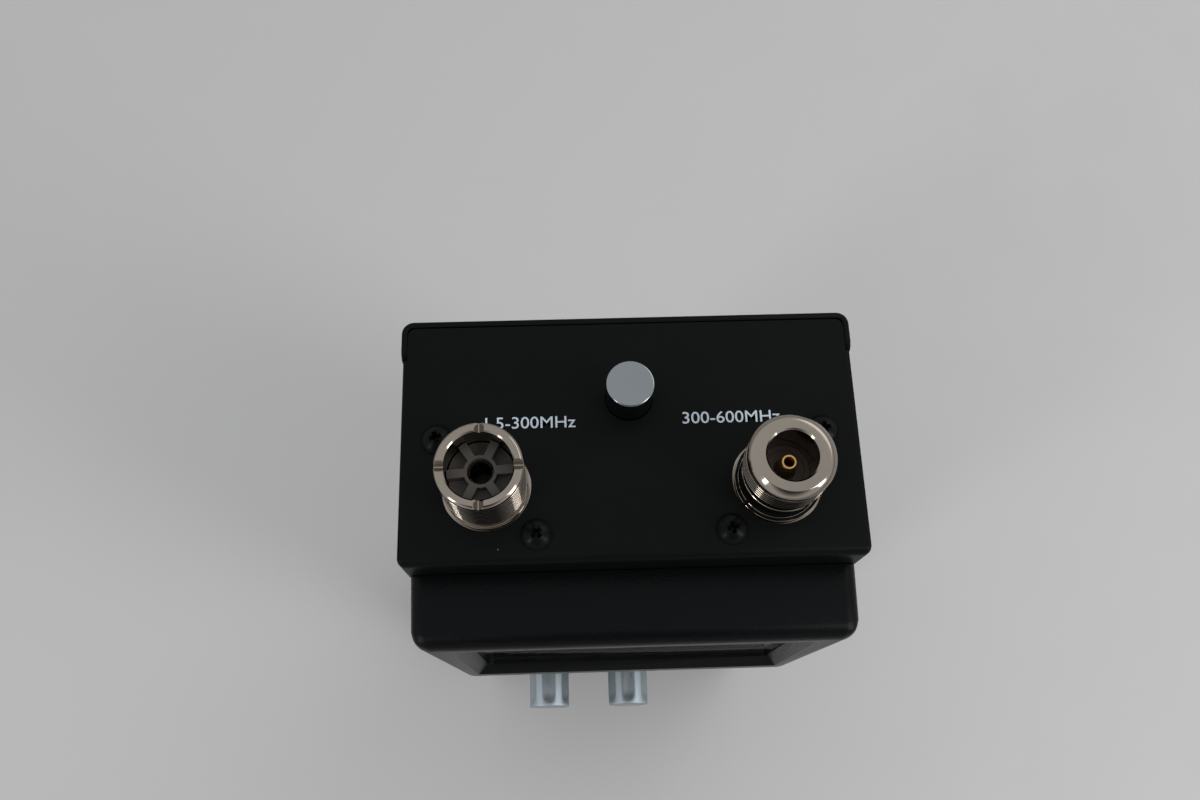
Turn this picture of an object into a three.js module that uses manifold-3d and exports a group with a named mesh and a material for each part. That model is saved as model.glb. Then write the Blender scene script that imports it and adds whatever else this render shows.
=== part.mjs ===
// Handheld antenna analyzer, standing upright on its bottom plate.
//
// Lengths are in millimetres. X is to the right of someone who faces the meter, Y is to the rear and
// Z is up. The origin is the middle of the case's bottom face, which the analyzer stands on.
import * as THREE from 'three';
import { mergeVertices } from 'three/addons/utils/BufferGeometryUtils.js';
import Module from 'manifold-3d';

const wasm = await Module();
wasm.setup();

// Case and rear cover
const case_width = 88.6;
const case_height = 190;
const case_depth = 49;
const case_sheet = 1.2;
const fold_radius = 1.6;
const side_edge_radius = 0.8;
const cover_sheet = 1.1;
const cover_step = 0.35;
const cover_lip_depth = 7.9;
const cover_corner_radius = 2.4;
const cover_lip_corner_radius = 2;
const lap_gap = 0.1;
const cover_screw_inset = 3.2;
const cover_screw_end_inset = 34;

// Clearances
const fit_gap = 0.3;
const seat_gap = 0.2;
const thread_gap = 0.15;
const cut_overrun = 1;

// Meter housing on the upper front
const housing_side_step = 0.9;
const housing_height = 61.5;
const housing_drop = 8.4;
const housing_reach = 14.3;
const housing_wall = 2;
const housing_draft = 0.4;
const housing_corner_radius = 3;
const housing_plan_radius = 4.3;
const housing_edge_radius = 3;
const housing_boss_radius = 3.2;
const housing_boss_inset = 5.4;

// Meter window and what lies behind it
const window_side_margin = 10.8;
const window_top_margin = 7.4;
const window_bottom_margin = 9.8;
const window_corner_radius = 1.5;
const window_recess = 2.1;
const window_bevel = 2.4;
const window_thickness = 1.5;
const window_ledge = 1.4;
const ledge_thickness = 1.2;
const window_frame_wall = 1.6;
const dial_side_gap = 0.6;
const dial_foot = 2.9;
const dial_thickness = 0.8;
const dial_post_radius = 1.6;
const dial_post_inset = 2.2;
const movement_side_inset = 6.2;
const movement_height = 24;
const movement_depth = 16;
const movement_foot = 2.8;
const coil_radius = 11;
const coil_height = 3;
const meter_opening_margin = 1;

// Needles
const pivot_inset = 12.6;
const pivot_drop = 4.2;
const needle_tip_gap = 6.5;
const needle_tail = 3;
const needle_base_width = 1.6;
const needle_tip_width = 0.5;
const needle_thickness = 0.4;
const needle_ledge_gap = 0.5;
const needle_spacing = 0.8;
const needle_hub_radius = 2;
const needle_rest_angle = 20;
const spindle_radius = 0.7;
const spindle_gap = 0.35;
const spindle_depth = 5;

// Frequency display
const lcd_window_width = 50;
const lcd_window_height = 18;
const lcd_window_drop = 22.1;
const lcd_pane_border = 3;
const lcd_pane_thickness = 1.5;
const lcd_module_border = 4;
const lcd_frame_depth = 1.2;

// Control board and its spacers
const board_thickness = 1.6;
const control_board_side_gap = 3.6;
const control_board_foot = 27;
const control_board_setback = 10.8;
const standoff_radius = 2.8;
const standoff_inset = 4;
const standoff_gap = 0.6;
const standoff_bore_radius = 1.3;

// Knobs, shafts and controls
const controls_height_share = 0.458;
const band_knob_share = -0.472;
const tuning_knob_share = 0.06;
const knob_radius = 5.85;
const knob_length = 15.8;
const knob_base_gap = 2.5;
const knob_tip_chamfer = 0.5;
const knob_flutes = 6;
const first_flute_share = 0.5;
const knob_flute_radius = 3.4;
const knob_flute_depth = 0.75;
const knob_flute_rim = 0.9;
const knob_bore_depth = 11;
const shaft_radius = 3;
const shaft_neck_radius = 2.4;
const shaft_inner_end = 3;
const bush_radius = 3.5;
const bush_length = 4.5;
const nut_across_flats = 10;
const nut_thickness = 2;
const band_switch_radius = 11;
const tuning_control_radius = 8.5;
const control_body_depth = 8.6;
const control_lug_width = 5;
const control_lug_drop = 4;

// Power button
const button_rear_inset = 17;
const button_radius = 4.6;
const button_height = 8;
const button_skirt = 4.5;
const button_edge_radius = 0.9;
const button_travel = 3;
const button_wall = 1.2;
const plunger_radius = 1.6;
const plunger_into_cap = 3;
const switch_width = 10.4;
const switch_length = 14;
const switch_drop = 8.6;
const plunger_engagement = 3;
const bracket_sheet = 1;
const bracket_flange = 6;

// Sockets on the top plate
const thread_radius = 7.94;
const collar_radius = 8.85;
const collar_height = 0.8;
const flange_side_gap = 2.6;
const flange_front_gap = 1;
const flange_screw_inset = 3.2;
const flange_thickness = 2;
const flange_corner_radius = 2;
const socket_screw_gap = 1.485;
const socket_screw_radius = 1.45;
const socket_screw_head_radius = 3.1;
const socket_screw_head_height = 1.9;
const socket_screw_length = 5.2;

const uhf_height = 15;
const uhf_wall = 1.69;
const uhf_neck_step = 0.74;
const uhf_neck_height = 3;
const uhf_rim_chamfer = 0.5;
const uhf_notches = 4;
const uhf_notch_width = 1.8;
const uhf_notch_depth = 1.1;
const uhf_insulator_recess = 4.2;
const uhf_insulator_tail = 4;
const uhf_insulator_step = 1.2;
const uhf_hub_radius = 3.7;
const uhf_spokes = 6;
const uhf_spoke_width = 1.3;
const uhf_pocket_rim = 0.6;
const uhf_pocket_depth = 2.2;
const uhf_contact_radius = 2.3;
const uhf_contact_bore_radius = 1.95;
const uhf_contact_bore_depth = 8;
const uhf_contact_recess = 1.2;
const uhf_tail_radius = 1.3;

const n_height = 16.3;
const n_bore_radius = 4.67;
const n_bore_depth = 10;
const n_bore_chamfer = 0.3;
const n_rim_radius = 7;
const n_rim_bevel = 0.9;
const n_collar_height = 4.4;
const n_neck_radius = 6.9;
const n_thread_bottom = 7.2;
const n_step_bottom = 5.2;
const n_step_radius = 7.6;
const n_insulator_radius = 4.4;
const n_insulator_tail = 4;
const n_insulator_hub_radius = 3.3;
const n_insulator_hub_height = 1;
const n_contact_radius = 1.45;
const n_contact_bore_radius = 0.85;
const n_contact_bore_depth = 5;
const n_contact_recess = 4.7;
const contact_tail_length = 9;

// Circuit board behind the sockets
const rf_board_side_gap = 4.6;
const rf_board_bottom_gap = 3.9;
const rf_board_drop = 8;
const rf_shield_side_inset = 12;
const rf_shield_end_inset = 3.4;
const rf_shield_depth = 7;
const rf_bracket_height = 10;
const rf_bracket_reach = 6;

// Supply jack in the right side
const jack_front_inset = 21;
const jack_drop = 64;
const jack_bush_radius = 4.2;
const jack_bore_radius = 2.9;
const jack_bore_depth = 9;
const jack_pin_radius = 1;
const jack_pin_recess = 1;
const jack_body_width = 10;
const jack_body_height = 11;
const jack_body_length = 11;
const jack_rim = 0.5;
const jack_rim_radius = 5;

// Battery holder and cells
const cell_radius = 7.1;
const cell_length = 49.5;
const cell_cap_radius = 2.7;
const cell_cap_height = 1;
const cell_count = 6;
const cell_gap = 0.4;
const cell_end_gap = 0.5;
const holder_wall = 1.6;
const holder_bottom = 12;
const holder_lip_share = 0.62;

// Screws
const small_screw_radius = 1.45;
const small_head_radius = 2.8;
const small_head_height = 1.7;
const cover_screw_length = 4.6;
const housing_screw_length = 7;

// Facets on round pieces
const fine_facets = 28;
const round_facets = 18;
const small_facets = 10;
const hexagon_facets = 6;
const corner_facets = 4;
const dome_facets = 3;

// Places worked out from the sizes above
const half_width = case_width / 2;
const inner_half_width = half_width - case_sheet;
const front_y = -case_depth / 2;
const back_y = case_depth / 2;
const plate_y = front_y + case_sheet;
const rim_y = back_y - cover_sheet - fit_gap;
const cover_half_width = half_width + cover_step;
const cover_inner_half_width = cover_half_width - cover_sheet;
const lip_y = back_y - cover_lip_depth;
const lapped_half_width = cover_inner_half_width - lap_gap;
const under_top_z = case_height - case_sheet;
const housing_half_width = half_width - housing_side_step;
const housing_top = case_height - housing_drop;
const housing_bottom = housing_top - housing_height;
const housing_boss_x = housing_half_width - housing_boss_inset;
const housing_front_y = front_y - housing_reach;
const window_top = housing_top - window_top_margin;
const window_bottom = housing_bottom + window_bottom_margin;
const window_width = 2 * (housing_half_width - window_side_margin);
const window_height = window_top - window_bottom;
const window_z = (window_top + window_bottom) / 2;
const window_front_y = housing_front_y + window_recess;
const window_back_y = window_front_y + window_thickness;
const ledge_back_y = window_back_y + seat_gap + ledge_thickness;
const pivot_x = window_width / 2 - pivot_inset;
const pivot_z = window_bottom - pivot_drop;
const needle_length = window_top - pivot_z - needle_tip_gap;
const front_needle_y = ledge_back_y + needle_ledge_gap;
const rear_needle_y = front_needle_y + needle_thickness + needle_spacing;
const dial_front_y = rear_needle_y + needle_thickness + needle_spacing;
const dial_back_y = dial_front_y + dial_thickness;
const dial_half_width = housing_boss_x - housing_boss_radius - dial_side_gap;
const dial_top = window_top + window_ledge;
const dial_bottom = pivot_z - dial_foot;
const movement_front_y = dial_back_y + seat_gap;
const movement_width = 2 * (dial_half_width - movement_side_inset);
const movement_bottom = pivot_z - movement_foot;
const movement_top = movement_bottom + movement_height;
const lcd_z = housing_bottom - lcd_window_drop;
const lcd_module_top = lcd_z + lcd_window_height / 2 + lcd_module_border;
const controls_z = housing_bottom * controls_height_share;
const board_front_y = plate_y + control_board_setback;
const board_half_width = inner_half_width - control_board_side_gap;
const board_bottom = controls_z - control_board_foot;
const board_top = lcd_module_top + standoff_gap + standoff_radius + standoff_inset;
const knob_base_y = front_y - knob_base_gap;
const knob_tip_y = knob_base_y - knob_length;
const screw_offset = (collar_radius + socket_screw_gap + socket_screw_head_radius) / Math.SQRT2;
const flange_side = 2 * (screw_offset + flange_screw_inset);
const flange_top_z = under_top_z - lap_gap;
const flange_bottom_z = flange_top_z - flange_thickness;
const socket_x = inner_half_width - flange_side_gap - flange_side / 2;
const socket_y = plate_y + flange_front_gap + flange_side / 2;
const uhf_bore_radius = thread_radius - uhf_wall;
const button_y = back_y - button_rear_inset;
const switch_half_depth = button_radius + fit_gap - seat_gap;
const switch_top_z = case_height - switch_drop;
const rf_board_top = under_top_z - rf_board_drop;
const rf_board_bottom = movement_top + rf_board_bottom_gap;
const rf_board_half_width = inner_half_width - rf_board_side_gap;
const jack_y = front_y + jack_front_inset;
const jack_z = case_height - jack_drop;

// Turn about an axis that maps a shape's plane into the case's frame
const planes = {
  xy: new THREE.Matrix4(),
  xz: new THREE.Matrix4().makeBasis(
    new THREE.Vector3(1, 0, 0), new THREE.Vector3(0, 0, 1), new THREE.Vector3(0, -1, 0)),
  yz: new THREE.Matrix4().makeBasis(
    new THREE.Vector3(0, 1, 0), new THREE.Vector3(0, 0, 1), new THREE.Vector3(1, 0, 0)),
};

// Signed volume of a closed geometry, which is negative when its faces point inwards
function signedVolume(positions, indices) {
  let sum = 0;
  const corner = [new THREE.Vector3(), new THREE.Vector3(), new THREE.Vector3()];
  for (let i = 0; i < indices.length; i += 3) {
    corner.forEach((point, k) => point.fromArray(positions, 3 * indices[i + k]));
    sum += corner[0].dot(corner[1].clone().cross(corner[2]));
  }
  return sum / 6;
}

// A closed geometry as a solid for joins and cuts
function solid(geometry) {
  const bare = (geometry.index ? geometry.toNonIndexed() : geometry).clone();
  bare.deleteAttribute('normal');
  bare.deleteAttribute('uv');
  const merged = mergeVertices(bare);
  const positions = new Float32Array(merged.attributes.position.array);
  const indices = [];
  for (let i = 0; i < merged.index.count; i += 3) {
    const [a, b, c] = [merged.index.getX(i), merged.index.getX(i + 1), merged.index.getX(i + 2)];
    if (a !== b && b !== c && c !== a) indices.push(a, b, c);
  }
  if (signedVolume(positions, indices) < 0) indices.reverse();
  const mesh = new wasm.Mesh({ numProp: 3, vertProperties: positions, triVerts: new Uint32Array(indices) });
  return new wasm.Manifold(mesh);
}

// Turns in degrees
const quarter_turn = 90;
const half_turn = 180;
const full_turn = 360;

const join = (...parts) => parts.reduce((sum, next) => sum.add(next));
const cut = (body, ...tools) => tools.reduce((rest, tool) => rest.subtract(tool), body);

// A block between two values on each axis
function block([x0, x1], [y0, y1], [z0, z1]) {
  const box = new THREE.BoxGeometry(x1 - x0, y1 - y0, z1 - z0);
  return solid(box.translate((x0 + x1) / 2, (y0 + y1) / 2, (z0 + z1) / 2));
}

// A shape drawn in a plane and pushed along that plane's normal between two values
function extruded(shape, plane, from, to, facets = corner_facets) {
  const options = { depth: Math.abs(to - from), bevelEnabled: false, curveSegments: facets };
  const geometry = new THREE.ExtrudeGeometry(shape, options).applyMatrix4(planes[plane]);
  const low = Math.min(from, to);
  const high = Math.max(from, to);
  if (plane === 'xy') return solid(geometry.translate(0, 0, low));
  if (plane === 'xz') return solid(geometry.translate(0, high, 0));
  return solid(geometry.translate(low, 0, 0));
}

// A rectangle with its own radius at each corner, from the lower left one anticlockwise
function cornered([u0, u1], [v0, v1], radii) {
  const [a, b, c, d] = radii;
  const shape = new THREE.Shape();
  const quarter = Math.PI / 2;
  shape.moveTo(u0 + a, v0);
  shape.lineTo(u1 - b, v0);
  if (b) shape.absarc(u1 - b, v0 + b, b, -quarter, 0);
  shape.lineTo(u1, v1 - c);
  if (c) shape.absarc(u1 - c, v1 - c, c, 0, quarter);
  shape.lineTo(u0 + d, v1);
  if (d) shape.absarc(u0 + d, v1 - d, d, quarter, 2 * quarter);
  shape.lineTo(u0, v0 + a);
  if (a) shape.absarc(u0 + a, v0 + a, a, 2 * quarter, 3 * quarter);
  return shape;
}

const rounded = (across, up, radius) => cornered(across, up, [radius, radius, radius, radius]);
const about = (middle, size) => [middle - size / 2, middle + size / 2];

// A turned piece: a closed profile of [radius, height] points, spun about Z and set at a place
function turned(profile, { x = 0, y = 0, z = 0 } = {}, facets = fine_facets) {
  const points = profile.map(([r, h]) => new THREE.Vector2(r, h));
  if (profile[0][0] > 0) points.push(points[0].clone());
  const lathe = new THREE.LatheGeometry(points, facets).rotateX(Math.PI / 2);
  return solid(lathe.translate(x, y, z));
}

// The same, spun about the Y axis, with heights counted towards the front
function turnedForward(profile, { x = 0, y = 0, z = 0 } = {}, facets = fine_facets) {
  const points = profile.map(([r, h]) => new THREE.Vector2(r, h));
  if (profile[0][0] > 0) points.push(points[0].clone());
  const lathe = new THREE.LatheGeometry(points, facets).rotateX(Math.PI);
  return solid(lathe.translate(x, y, z));
}

function rodZ(radius, [z0, z1], x, y, facets = small_facets) {
  const rod = new THREE.CylinderGeometry(radius, radius, z1 - z0, facets).rotateX(Math.PI / 2);
  return solid(rod.translate(x, y, (z0 + z1) / 2));
}

function rodY(radius, [y0, y1], x, z, facets = small_facets) {
  const rod = new THREE.CylinderGeometry(radius, radius, y1 - y0, facets);
  return solid(rod.translate(x, (y0 + y1) / 2, z));
}

function rodX(radius, [x0, x1], y, z, facets = small_facets) {
  const rod = new THREE.CylinderGeometry(radius, radius, x1 - x0, facets).rotateZ(Math.PI / 2);
  return solid(rod.translate((x0 + x1) / 2, y, z));
}

// Finishes of the pieces
const finish = (color, roughness, metalness, more = {}) =>
  new THREE.MeshStandardMaterial({ color, roughness, metalness, ...more });
const finishes = {
  black_paint: finish('#161818', 0.45, 0.1),
  black_plastic: finish('#17191a', 0.5, 0),
  black_screw: finish('#101112', 0.4, 0.7),
  clear_pane: finish('#10181a', 0.05, 0, { transparent: true, opacity: 0.4 }),
  dial_card: finish('#e8e6da', 0.7, 0),
  needle_black: finish('#121212', 0.5, 0),
  dark_plastic: finish('#2a2c2d', 0.6, 0),
  display_glass: finish('#8fa07a', 0.2, 0),
  circuit_board: finish('#1d5a35', 0.5, 0),
  nickel: finish('#c3b9ae', 0.2, 1),
  chrome: finish('#c8ccce', 0.1, 1),
  knob_aluminium: finish('#aab2b5', 0.25, 1),
  steel: finish('#a8a8a6', 0.35, 1),
  insulator_grey: finish('#6d6a66', 0.5, 0),
  insulator_dark: finish('#2b2622', 0.5, 0),
  gold: finish('#c59a3d', 0.25, 1),
  cell_sleeve: finish('#3c4f6b', 0.4, 0.2),
};

const analyzer = new THREE.Group();

function place(name, body, material) {
  const mesh = body.getMesh();
  const geometry = new THREE.BufferGeometry();
  geometry.setAttribute('position', new THREE.BufferAttribute(mesh.vertProperties, 3));
  geometry.setIndex(new THREE.BufferAttribute(mesh.triVerts, 1));
  geometry.computeVertexNormals();
  const piece = new THREE.Mesh(geometry, finishes[material]);
  piece.name = name;
  analyzer.add(piece);
}

// Where the screws of the housing, the cover and the sockets stand
const housing_screws = [-1, 1].flatMap((side) => [
  { x: side * housing_boss_x, z: housing_bottom + housing_boss_inset },
  { x: side * housing_boss_x, z: housing_top - housing_boss_inset },
]);
const cover_screws = [-1, 1].flatMap((side) => [
  { side, z: cover_screw_end_inset },
  { side, z: case_height - cover_screw_end_inset },
]);
const cover_screw_y = lip_y + cover_screw_inset;
const socket_screws = [
  { x: -socket_x - screw_offset, y: socket_y + screw_offset },
  { x: -socket_x + screw_offset, y: socket_y - screw_offset },
  { x: socket_x + screw_offset, y: socket_y + screw_offset },
  { x: socket_x - screw_offset, y: socket_y - screw_offset },
];
const controls = [
  { name: 'band', body: 'band_switch', x: half_width * band_knob_share, can_radius: band_switch_radius },
  {
    name: 'tuning',
    body: 'tuning_control',
    x: half_width * tuning_knob_share,
    can_radius: tuning_control_radius,
  },
];
const standoffs = [-1, 1].flatMap((side) =>
  [board_bottom + standoff_inset, board_top - standoff_inset].map((z) => (
    { x: side * (board_half_width - standoff_inset), z })));

// The folded case: three profiles crossed, so that its front folds and its side edges are round. Its sides
// step in behind the cover's lips, which lie almost flush with them.
function caseBlank(inset, rear, radius_cut) {
  const fold = Math.max(fold_radius - radius_cut, 0);
  const edge = Math.max(side_edge_radius - radius_cut, 0);
  const across = [-half_width + inset, half_width - inset];
  const deep = [front_y + inset, rear];
  const up = [inset, case_height - inset];
  const rear_corner = inset ? 0 : cover_corner_radius - cover_sheet + fit_gap;
  const lapped = lapped_half_width - inset;
  const wide = [[across[0], -lapped], [lapped, across[1]]].map((ends) => (
    block(about((ends[0] + ends[1]) / 2, Math.abs(ends[1] - ends[0])),
      [front_y, lip_y - fit_gap - inset], up)));
  const rear_plan = cornered([-lapped, lapped], deep, [0, 0, rear_corner, rear_corner]);
  const rear_part = join(extruded(rear_plan, 'xy', ...up), ...wide);
  const plan = extruded(cornered(across, deep, [fold, fold, 0, 0]), 'xy', ...up).intersect(rear_part);
  const side = extruded(cornered(deep, up, [fold, 0, 0, fold]), 'yz', ...across);
  if (!edge) return plan.intersect(side);
  const front = extruded(rounded(across, up, edge), 'xz', ...deep);
  return plan.intersect(side).intersect(front);
}

function chassisBody() {
  const through_front = [front_y - cut_overrun, plate_y + cut_overrun];
  const through_top = [under_top_z - cut_overrun, case_height + cut_overrun];
  let body = caseBlank(0, rim_y, 0).subtract(caseBlank(case_sheet, rim_y + cut_overrun, case_sheet));
  const holes = [
    extruded(rounded(about(0, movement_width + 2 * meter_opening_margin),
      [movement_bottom - meter_opening_margin, movement_top + meter_opening_margin],
      window_corner_radius), 'xz', ...through_front),
    extruded(rounded(about(0, lcd_window_width), about(lcd_z, lcd_window_height), window_corner_radius),
      'xz', ...through_front),
    rodZ(button_radius + fit_gap, through_top, 0, button_y, round_facets),
    rodX(jack_bush_radius + thread_gap, [inner_half_width - cut_overrun, half_width + cut_overrun],
      jack_y, jack_z, round_facets),
  ];
  for (const side of [-1, 1]) {
    holes.push(rodZ(collar_radius + fit_gap, through_top, side * socket_x, socket_y, fine_facets));
  }
  for (const { x, y } of socket_screws) {
    holes.push(rodZ(socket_screw_radius + fit_gap, through_top, x, y));
  }
  for (const { x, z } of housing_screws) {
    holes.push(rodY(small_screw_radius + fit_gap, through_front, x, z));
  }
  for (const { x } of controls) {
    holes.push(rodY(bush_radius + thread_gap, through_front, x, controls_z, round_facets));
  }
  for (const { side, z } of cover_screws) {
    const through_side = about(side * lapped_half_width, 2 * (case_sheet + cut_overrun));
    holes.push(rodX(small_screw_radius + thread_gap, through_side, cover_screw_y, z));
  }
  body = cut(body, ...holes);
  place('chassis_body', body, 'black_paint');
}

// The rear cover: a sheet whose two sides are folded forward over the case, with rounded lip corners
function rearCover() {
  const outer = cover_half_width;
  const inner = cover_inner_half_width;
  const inner_radius = cover_corner_radius - cover_sheet;
  const up = [0, case_height];
  const plan = cornered([-outer, outer], [lip_y, back_y], [0, 0, cover_corner_radius, cover_corner_radius]);
  const skin = extruded(plan, 'xy', ...up);
  const inside = cornered([-inner, inner], [lip_y - cut_overrun, back_y - cover_sheet],
    [0, 0, inner_radius, inner_radius]);
  const hollow = extruded(inside, 'xy', -cut_overrun, case_height + cut_overrun);
  const lip_outline = extruded(
    cornered([lip_y, back_y], up, [cover_lip_corner_radius, 0, 0, cover_lip_corner_radius]),
    'yz', -outer, outer);
  const holes = cover_screws.map(({ side, z }) => rodX(
    small_screw_radius + fit_gap, about(side * outer, 2 * (cover_sheet + lap_gap)), cover_screw_y, z));
  place('rear_cover', cut(skin.intersect(lip_outline), hollow, ...holes), 'black_paint');
}

// A domed screw along +Z from the seat of its head
function domedScrew(radius, head_radius, head_height, length) {
  const dome = [];
  for (let i = 0; i < dome_facets; i += 1) {
    const angle = (i / dome_facets) * (Math.PI / 2);
    dome.push([head_radius * Math.cos(angle), head_height * Math.sin(angle)]);
  }
  const profile = [[0, -length], [radius, -length], [radius, 0], ...dome, [0, head_height]];
  return turned(profile, {}, small_facets);
}

function coverScrews() {
  cover_screws.forEach(({ side, z }, i) => {
    const screw = domedScrew(small_screw_radius, small_head_radius, small_head_height,
      cover_screw_length);
    const seat = side * (cover_half_width + lap_gap);
    const placed = screw.rotate([0, side * quarter_turn, 0]).translate([seat, cover_screw_y, z]);
    place(`cover_screw_${i + 1}`, placed, 'black_screw');
  });
}

function housingScrews() {
  housing_screws.forEach(({ x, z }, i) => {
    const screw = domedScrew(small_screw_radius, small_head_radius, small_head_height,
      housing_screw_length);
    const placed = screw.rotate([-quarter_turn, 0, 0]).translate([x, plate_y + lap_gap, z]);
    place(`housing_screw_${i + 1}`, placed, 'steel');
  });
}

function socketScrews() {
  socket_screws.forEach(({ x, y }, i) => {
    const screw = domedScrew(socket_screw_radius, socket_screw_head_radius, socket_screw_head_height,
      socket_screw_length);
    place(`socket_screw_${i + 1}`, screw.translate([x, y, case_height + lap_gap]), 'black_screw');
  });
}

// The moulded meter housing: crossed profiles give its rounded edges, and its sides have a draft
function housingBlank(inset) {
  const half_back = housing_half_width - inset;
  const half_front = half_back - housing_draft;
  const rear_y = front_y - (inset ? -cut_overrun : seat_gap);
  const face_y = housing_front_y + inset;
  const up = [housing_bottom + inset, housing_top - inset];
  const plan_radius = housing_plan_radius - inset;
  const plan = new THREE.Shape();
  plan.moveTo(half_back, rear_y);
  plan.lineTo(-half_back, rear_y);
  plan.lineTo(-half_front, face_y + plan_radius);
  plan.absarc(-half_front + plan_radius, face_y + plan_radius, plan_radius, Math.PI, 1.5 * Math.PI);
  plan.absarc(half_front - plan_radius, face_y + plan_radius, plan_radius, 1.5 * Math.PI, 2 * Math.PI);
  const edge = housing_edge_radius - inset;
  const corner = housing_corner_radius - inset;
  return extruded(plan, 'xy', ...up)
    .intersect(extruded(cornered([face_y, rear_y], up, [edge, 0, 0, edge]), 'yz', -half_back, half_back))
    .intersect(extruded(rounded([-half_back, half_back], up, corner), 'xz', face_y, rear_y));
}

// The window's bevelled mouth, which narrows from the housing's face to the pane
function windowMouth() {
  const face_y = housing_front_y - cut_overrun;
  const spread = window_bevel * (1 + cut_overrun / window_recess);
  const half = window_width / 2;
  const plan = new THREE.Shape([
    new THREE.Vector2(-half, window_front_y), new THREE.Vector2(-half - spread, face_y),
    new THREE.Vector2(half + spread, face_y), new THREE.Vector2(half, window_front_y),
  ]);
  const side = new THREE.Shape([
    new THREE.Vector2(window_front_y, window_bottom), new THREE.Vector2(window_front_y, window_top),
    new THREE.Vector2(face_y, window_top + spread), new THREE.Vector2(face_y, window_bottom - spread),
  ]);
  return extruded(plan, 'xy', window_bottom - spread, window_top + spread)
    .intersect(extruded(side, 'yz', -half - spread, half + spread));
}

function meterHousing() {
  const outer = housingBlank(0);
  const opening = (border, y0, y1) => extruded(
    rounded(about(0, window_width + 2 * border), about(window_z, window_height + 2 * border),
      window_corner_radius), 'xz', y0, y1);
  const mid_wall_y = housing_front_y + housing_wall / 2;
  const frame = opening(window_frame_wall, mid_wall_y, ledge_back_y);
  const post_x = dial_half_width - dial_post_inset + dial_post_radius;
  const posts = [-post_x, post_x].flatMap((x) => (
    [dial_bottom + dial_post_inset, dial_top - dial_post_inset].map((z) => (
      rodY(dial_post_radius, [mid_wall_y, dial_front_y - seat_gap], x, z)))));
  const bosses = housing_screws.map(({ x, z }) => rodY(
    housing_boss_radius, [housing_front_y + housing_wall, front_y - seat_gap], x, z));
  const bore_reach = [front_y - housing_screw_length - cut_overrun, front_y + cut_overrun];
  const bores = housing_screws.map(({ x, z }) => rodY(small_screw_radius + thread_gap, bore_reach, x, z));
  const shell = outer.subtract(housingBlank(housing_wall));
  const fitted = join(shell, frame, ...posts, ...bosses).intersect(outer);
  place('meter_housing', cut(fitted,
    windowMouth(),
    opening(0, window_front_y, window_back_y + seat_gap),
    opening(-window_ledge, housing_front_y, ledge_back_y + cut_overrun),
    ...bores), 'black_plastic');
}

function meterWindow() {
  const pane = rounded(about(0, window_width - 2 * seat_gap), about(window_z, window_height - 2 * seat_gap),
    window_corner_radius);
  place('meter_window', extruded(pane, 'xz', window_front_y, window_back_y), 'clear_pane');
}

function dialPlate() {
  const outline = rounded(about(0, 2 * dial_half_width), [dial_bottom, dial_top], window_corner_radius);
  const card = extruded(outline, 'xz', dial_front_y, dial_back_y);
  const holes = [-pivot_x, pivot_x].map((x) => (
    rodY(needle_hub_radius, [dial_front_y - cut_overrun, dial_back_y + cut_overrun], x, pivot_z)));
  place('dial_plate', cut(card, ...holes), 'dial_card');
}

// The movement block with a round coil housing behind each needle's spindle
function meterMovement() {
  const up = [movement_bottom, movement_top];
  const middle = [movement_front_y, movement_front_y + movement_depth];
  const base = extruded(rounded(about(0, movement_width), up, window_corner_radius), 'xz', ...middle);
  const coils = [-pivot_x, pivot_x].map((x) => rodY(
    coil_radius, [middle[1] - cut_overrun, middle[1] + coil_height], x, (up[0] + up[1]) / 2, round_facets));
  const bore_reach = [middle[0] - cut_overrun, middle[0] + spindle_depth + fit_gap];
  const bores = [-pivot_x, pivot_x].map((x) => rodY(spindle_radius + spindle_gap, bore_reach, x, pivot_z));
  place('meter_movement', cut(join(base, ...coils), ...bores), 'dark_plastic');
}

// A needle: a tapered pointer with a short tail, a hub, and the spindle that turns in the movement
function needle(name, side, front) {
  const pointer = new THREE.Shape();
  pointer.moveTo(-needle_tail, -needle_base_width / 2);
  pointer.lineTo(needle_length, -needle_tip_width / 2);
  pointer.lineTo(needle_length, needle_tip_width / 2);
  pointer.lineTo(-needle_tail, needle_base_width / 2);
  const turn = side > 0 ? half_turn - needle_rest_angle : needle_rest_angle;
  const blade = extruded(pointer, 'xz', front, front + needle_thickness).rotate([0, -turn, 0]);
  const hub = rodY(needle_hub_radius, [front, front + needle_thickness], 0, 0);
  const spindle = rodY(spindle_radius, [front, movement_front_y + spindle_depth], 0, 0);
  place(name, join(blade, hub, spindle).translate([side * pivot_x, 0, pivot_z]), 'needle_black');
}

function needles() {
  needle('forward_needle', 1, front_needle_y);
  needle('reflected_needle', -1, rear_needle_y);
}

function frequencyDisplay() {
  const pane_front = plate_y + lap_gap;
  const pane_back = pane_front + lcd_pane_thickness;
  const pane = rounded(about(0, lcd_window_width + 2 * lcd_pane_border),
    about(lcd_z, lcd_window_height + 2 * lcd_pane_border), window_corner_radius);
  place('lcd_window', extruded(pane, 'xz', pane_front, pane_back), 'clear_pane');
  const module_front = pane_back + seat_gap;
  const outline = rounded(about(0, lcd_window_width + 2 * lcd_module_border),
    about(lcd_z, lcd_window_height + 2 * lcd_module_border), window_corner_radius);
  const body = extruded(outline, 'xz', module_front, board_front_y - seat_gap);
  const view = block(about(0, lcd_window_width),
    [module_front - cut_overrun, module_front + lcd_frame_depth], about(lcd_z, lcd_window_height));
  place('lcd_module', body.subtract(view), 'display_glass');
}

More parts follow.
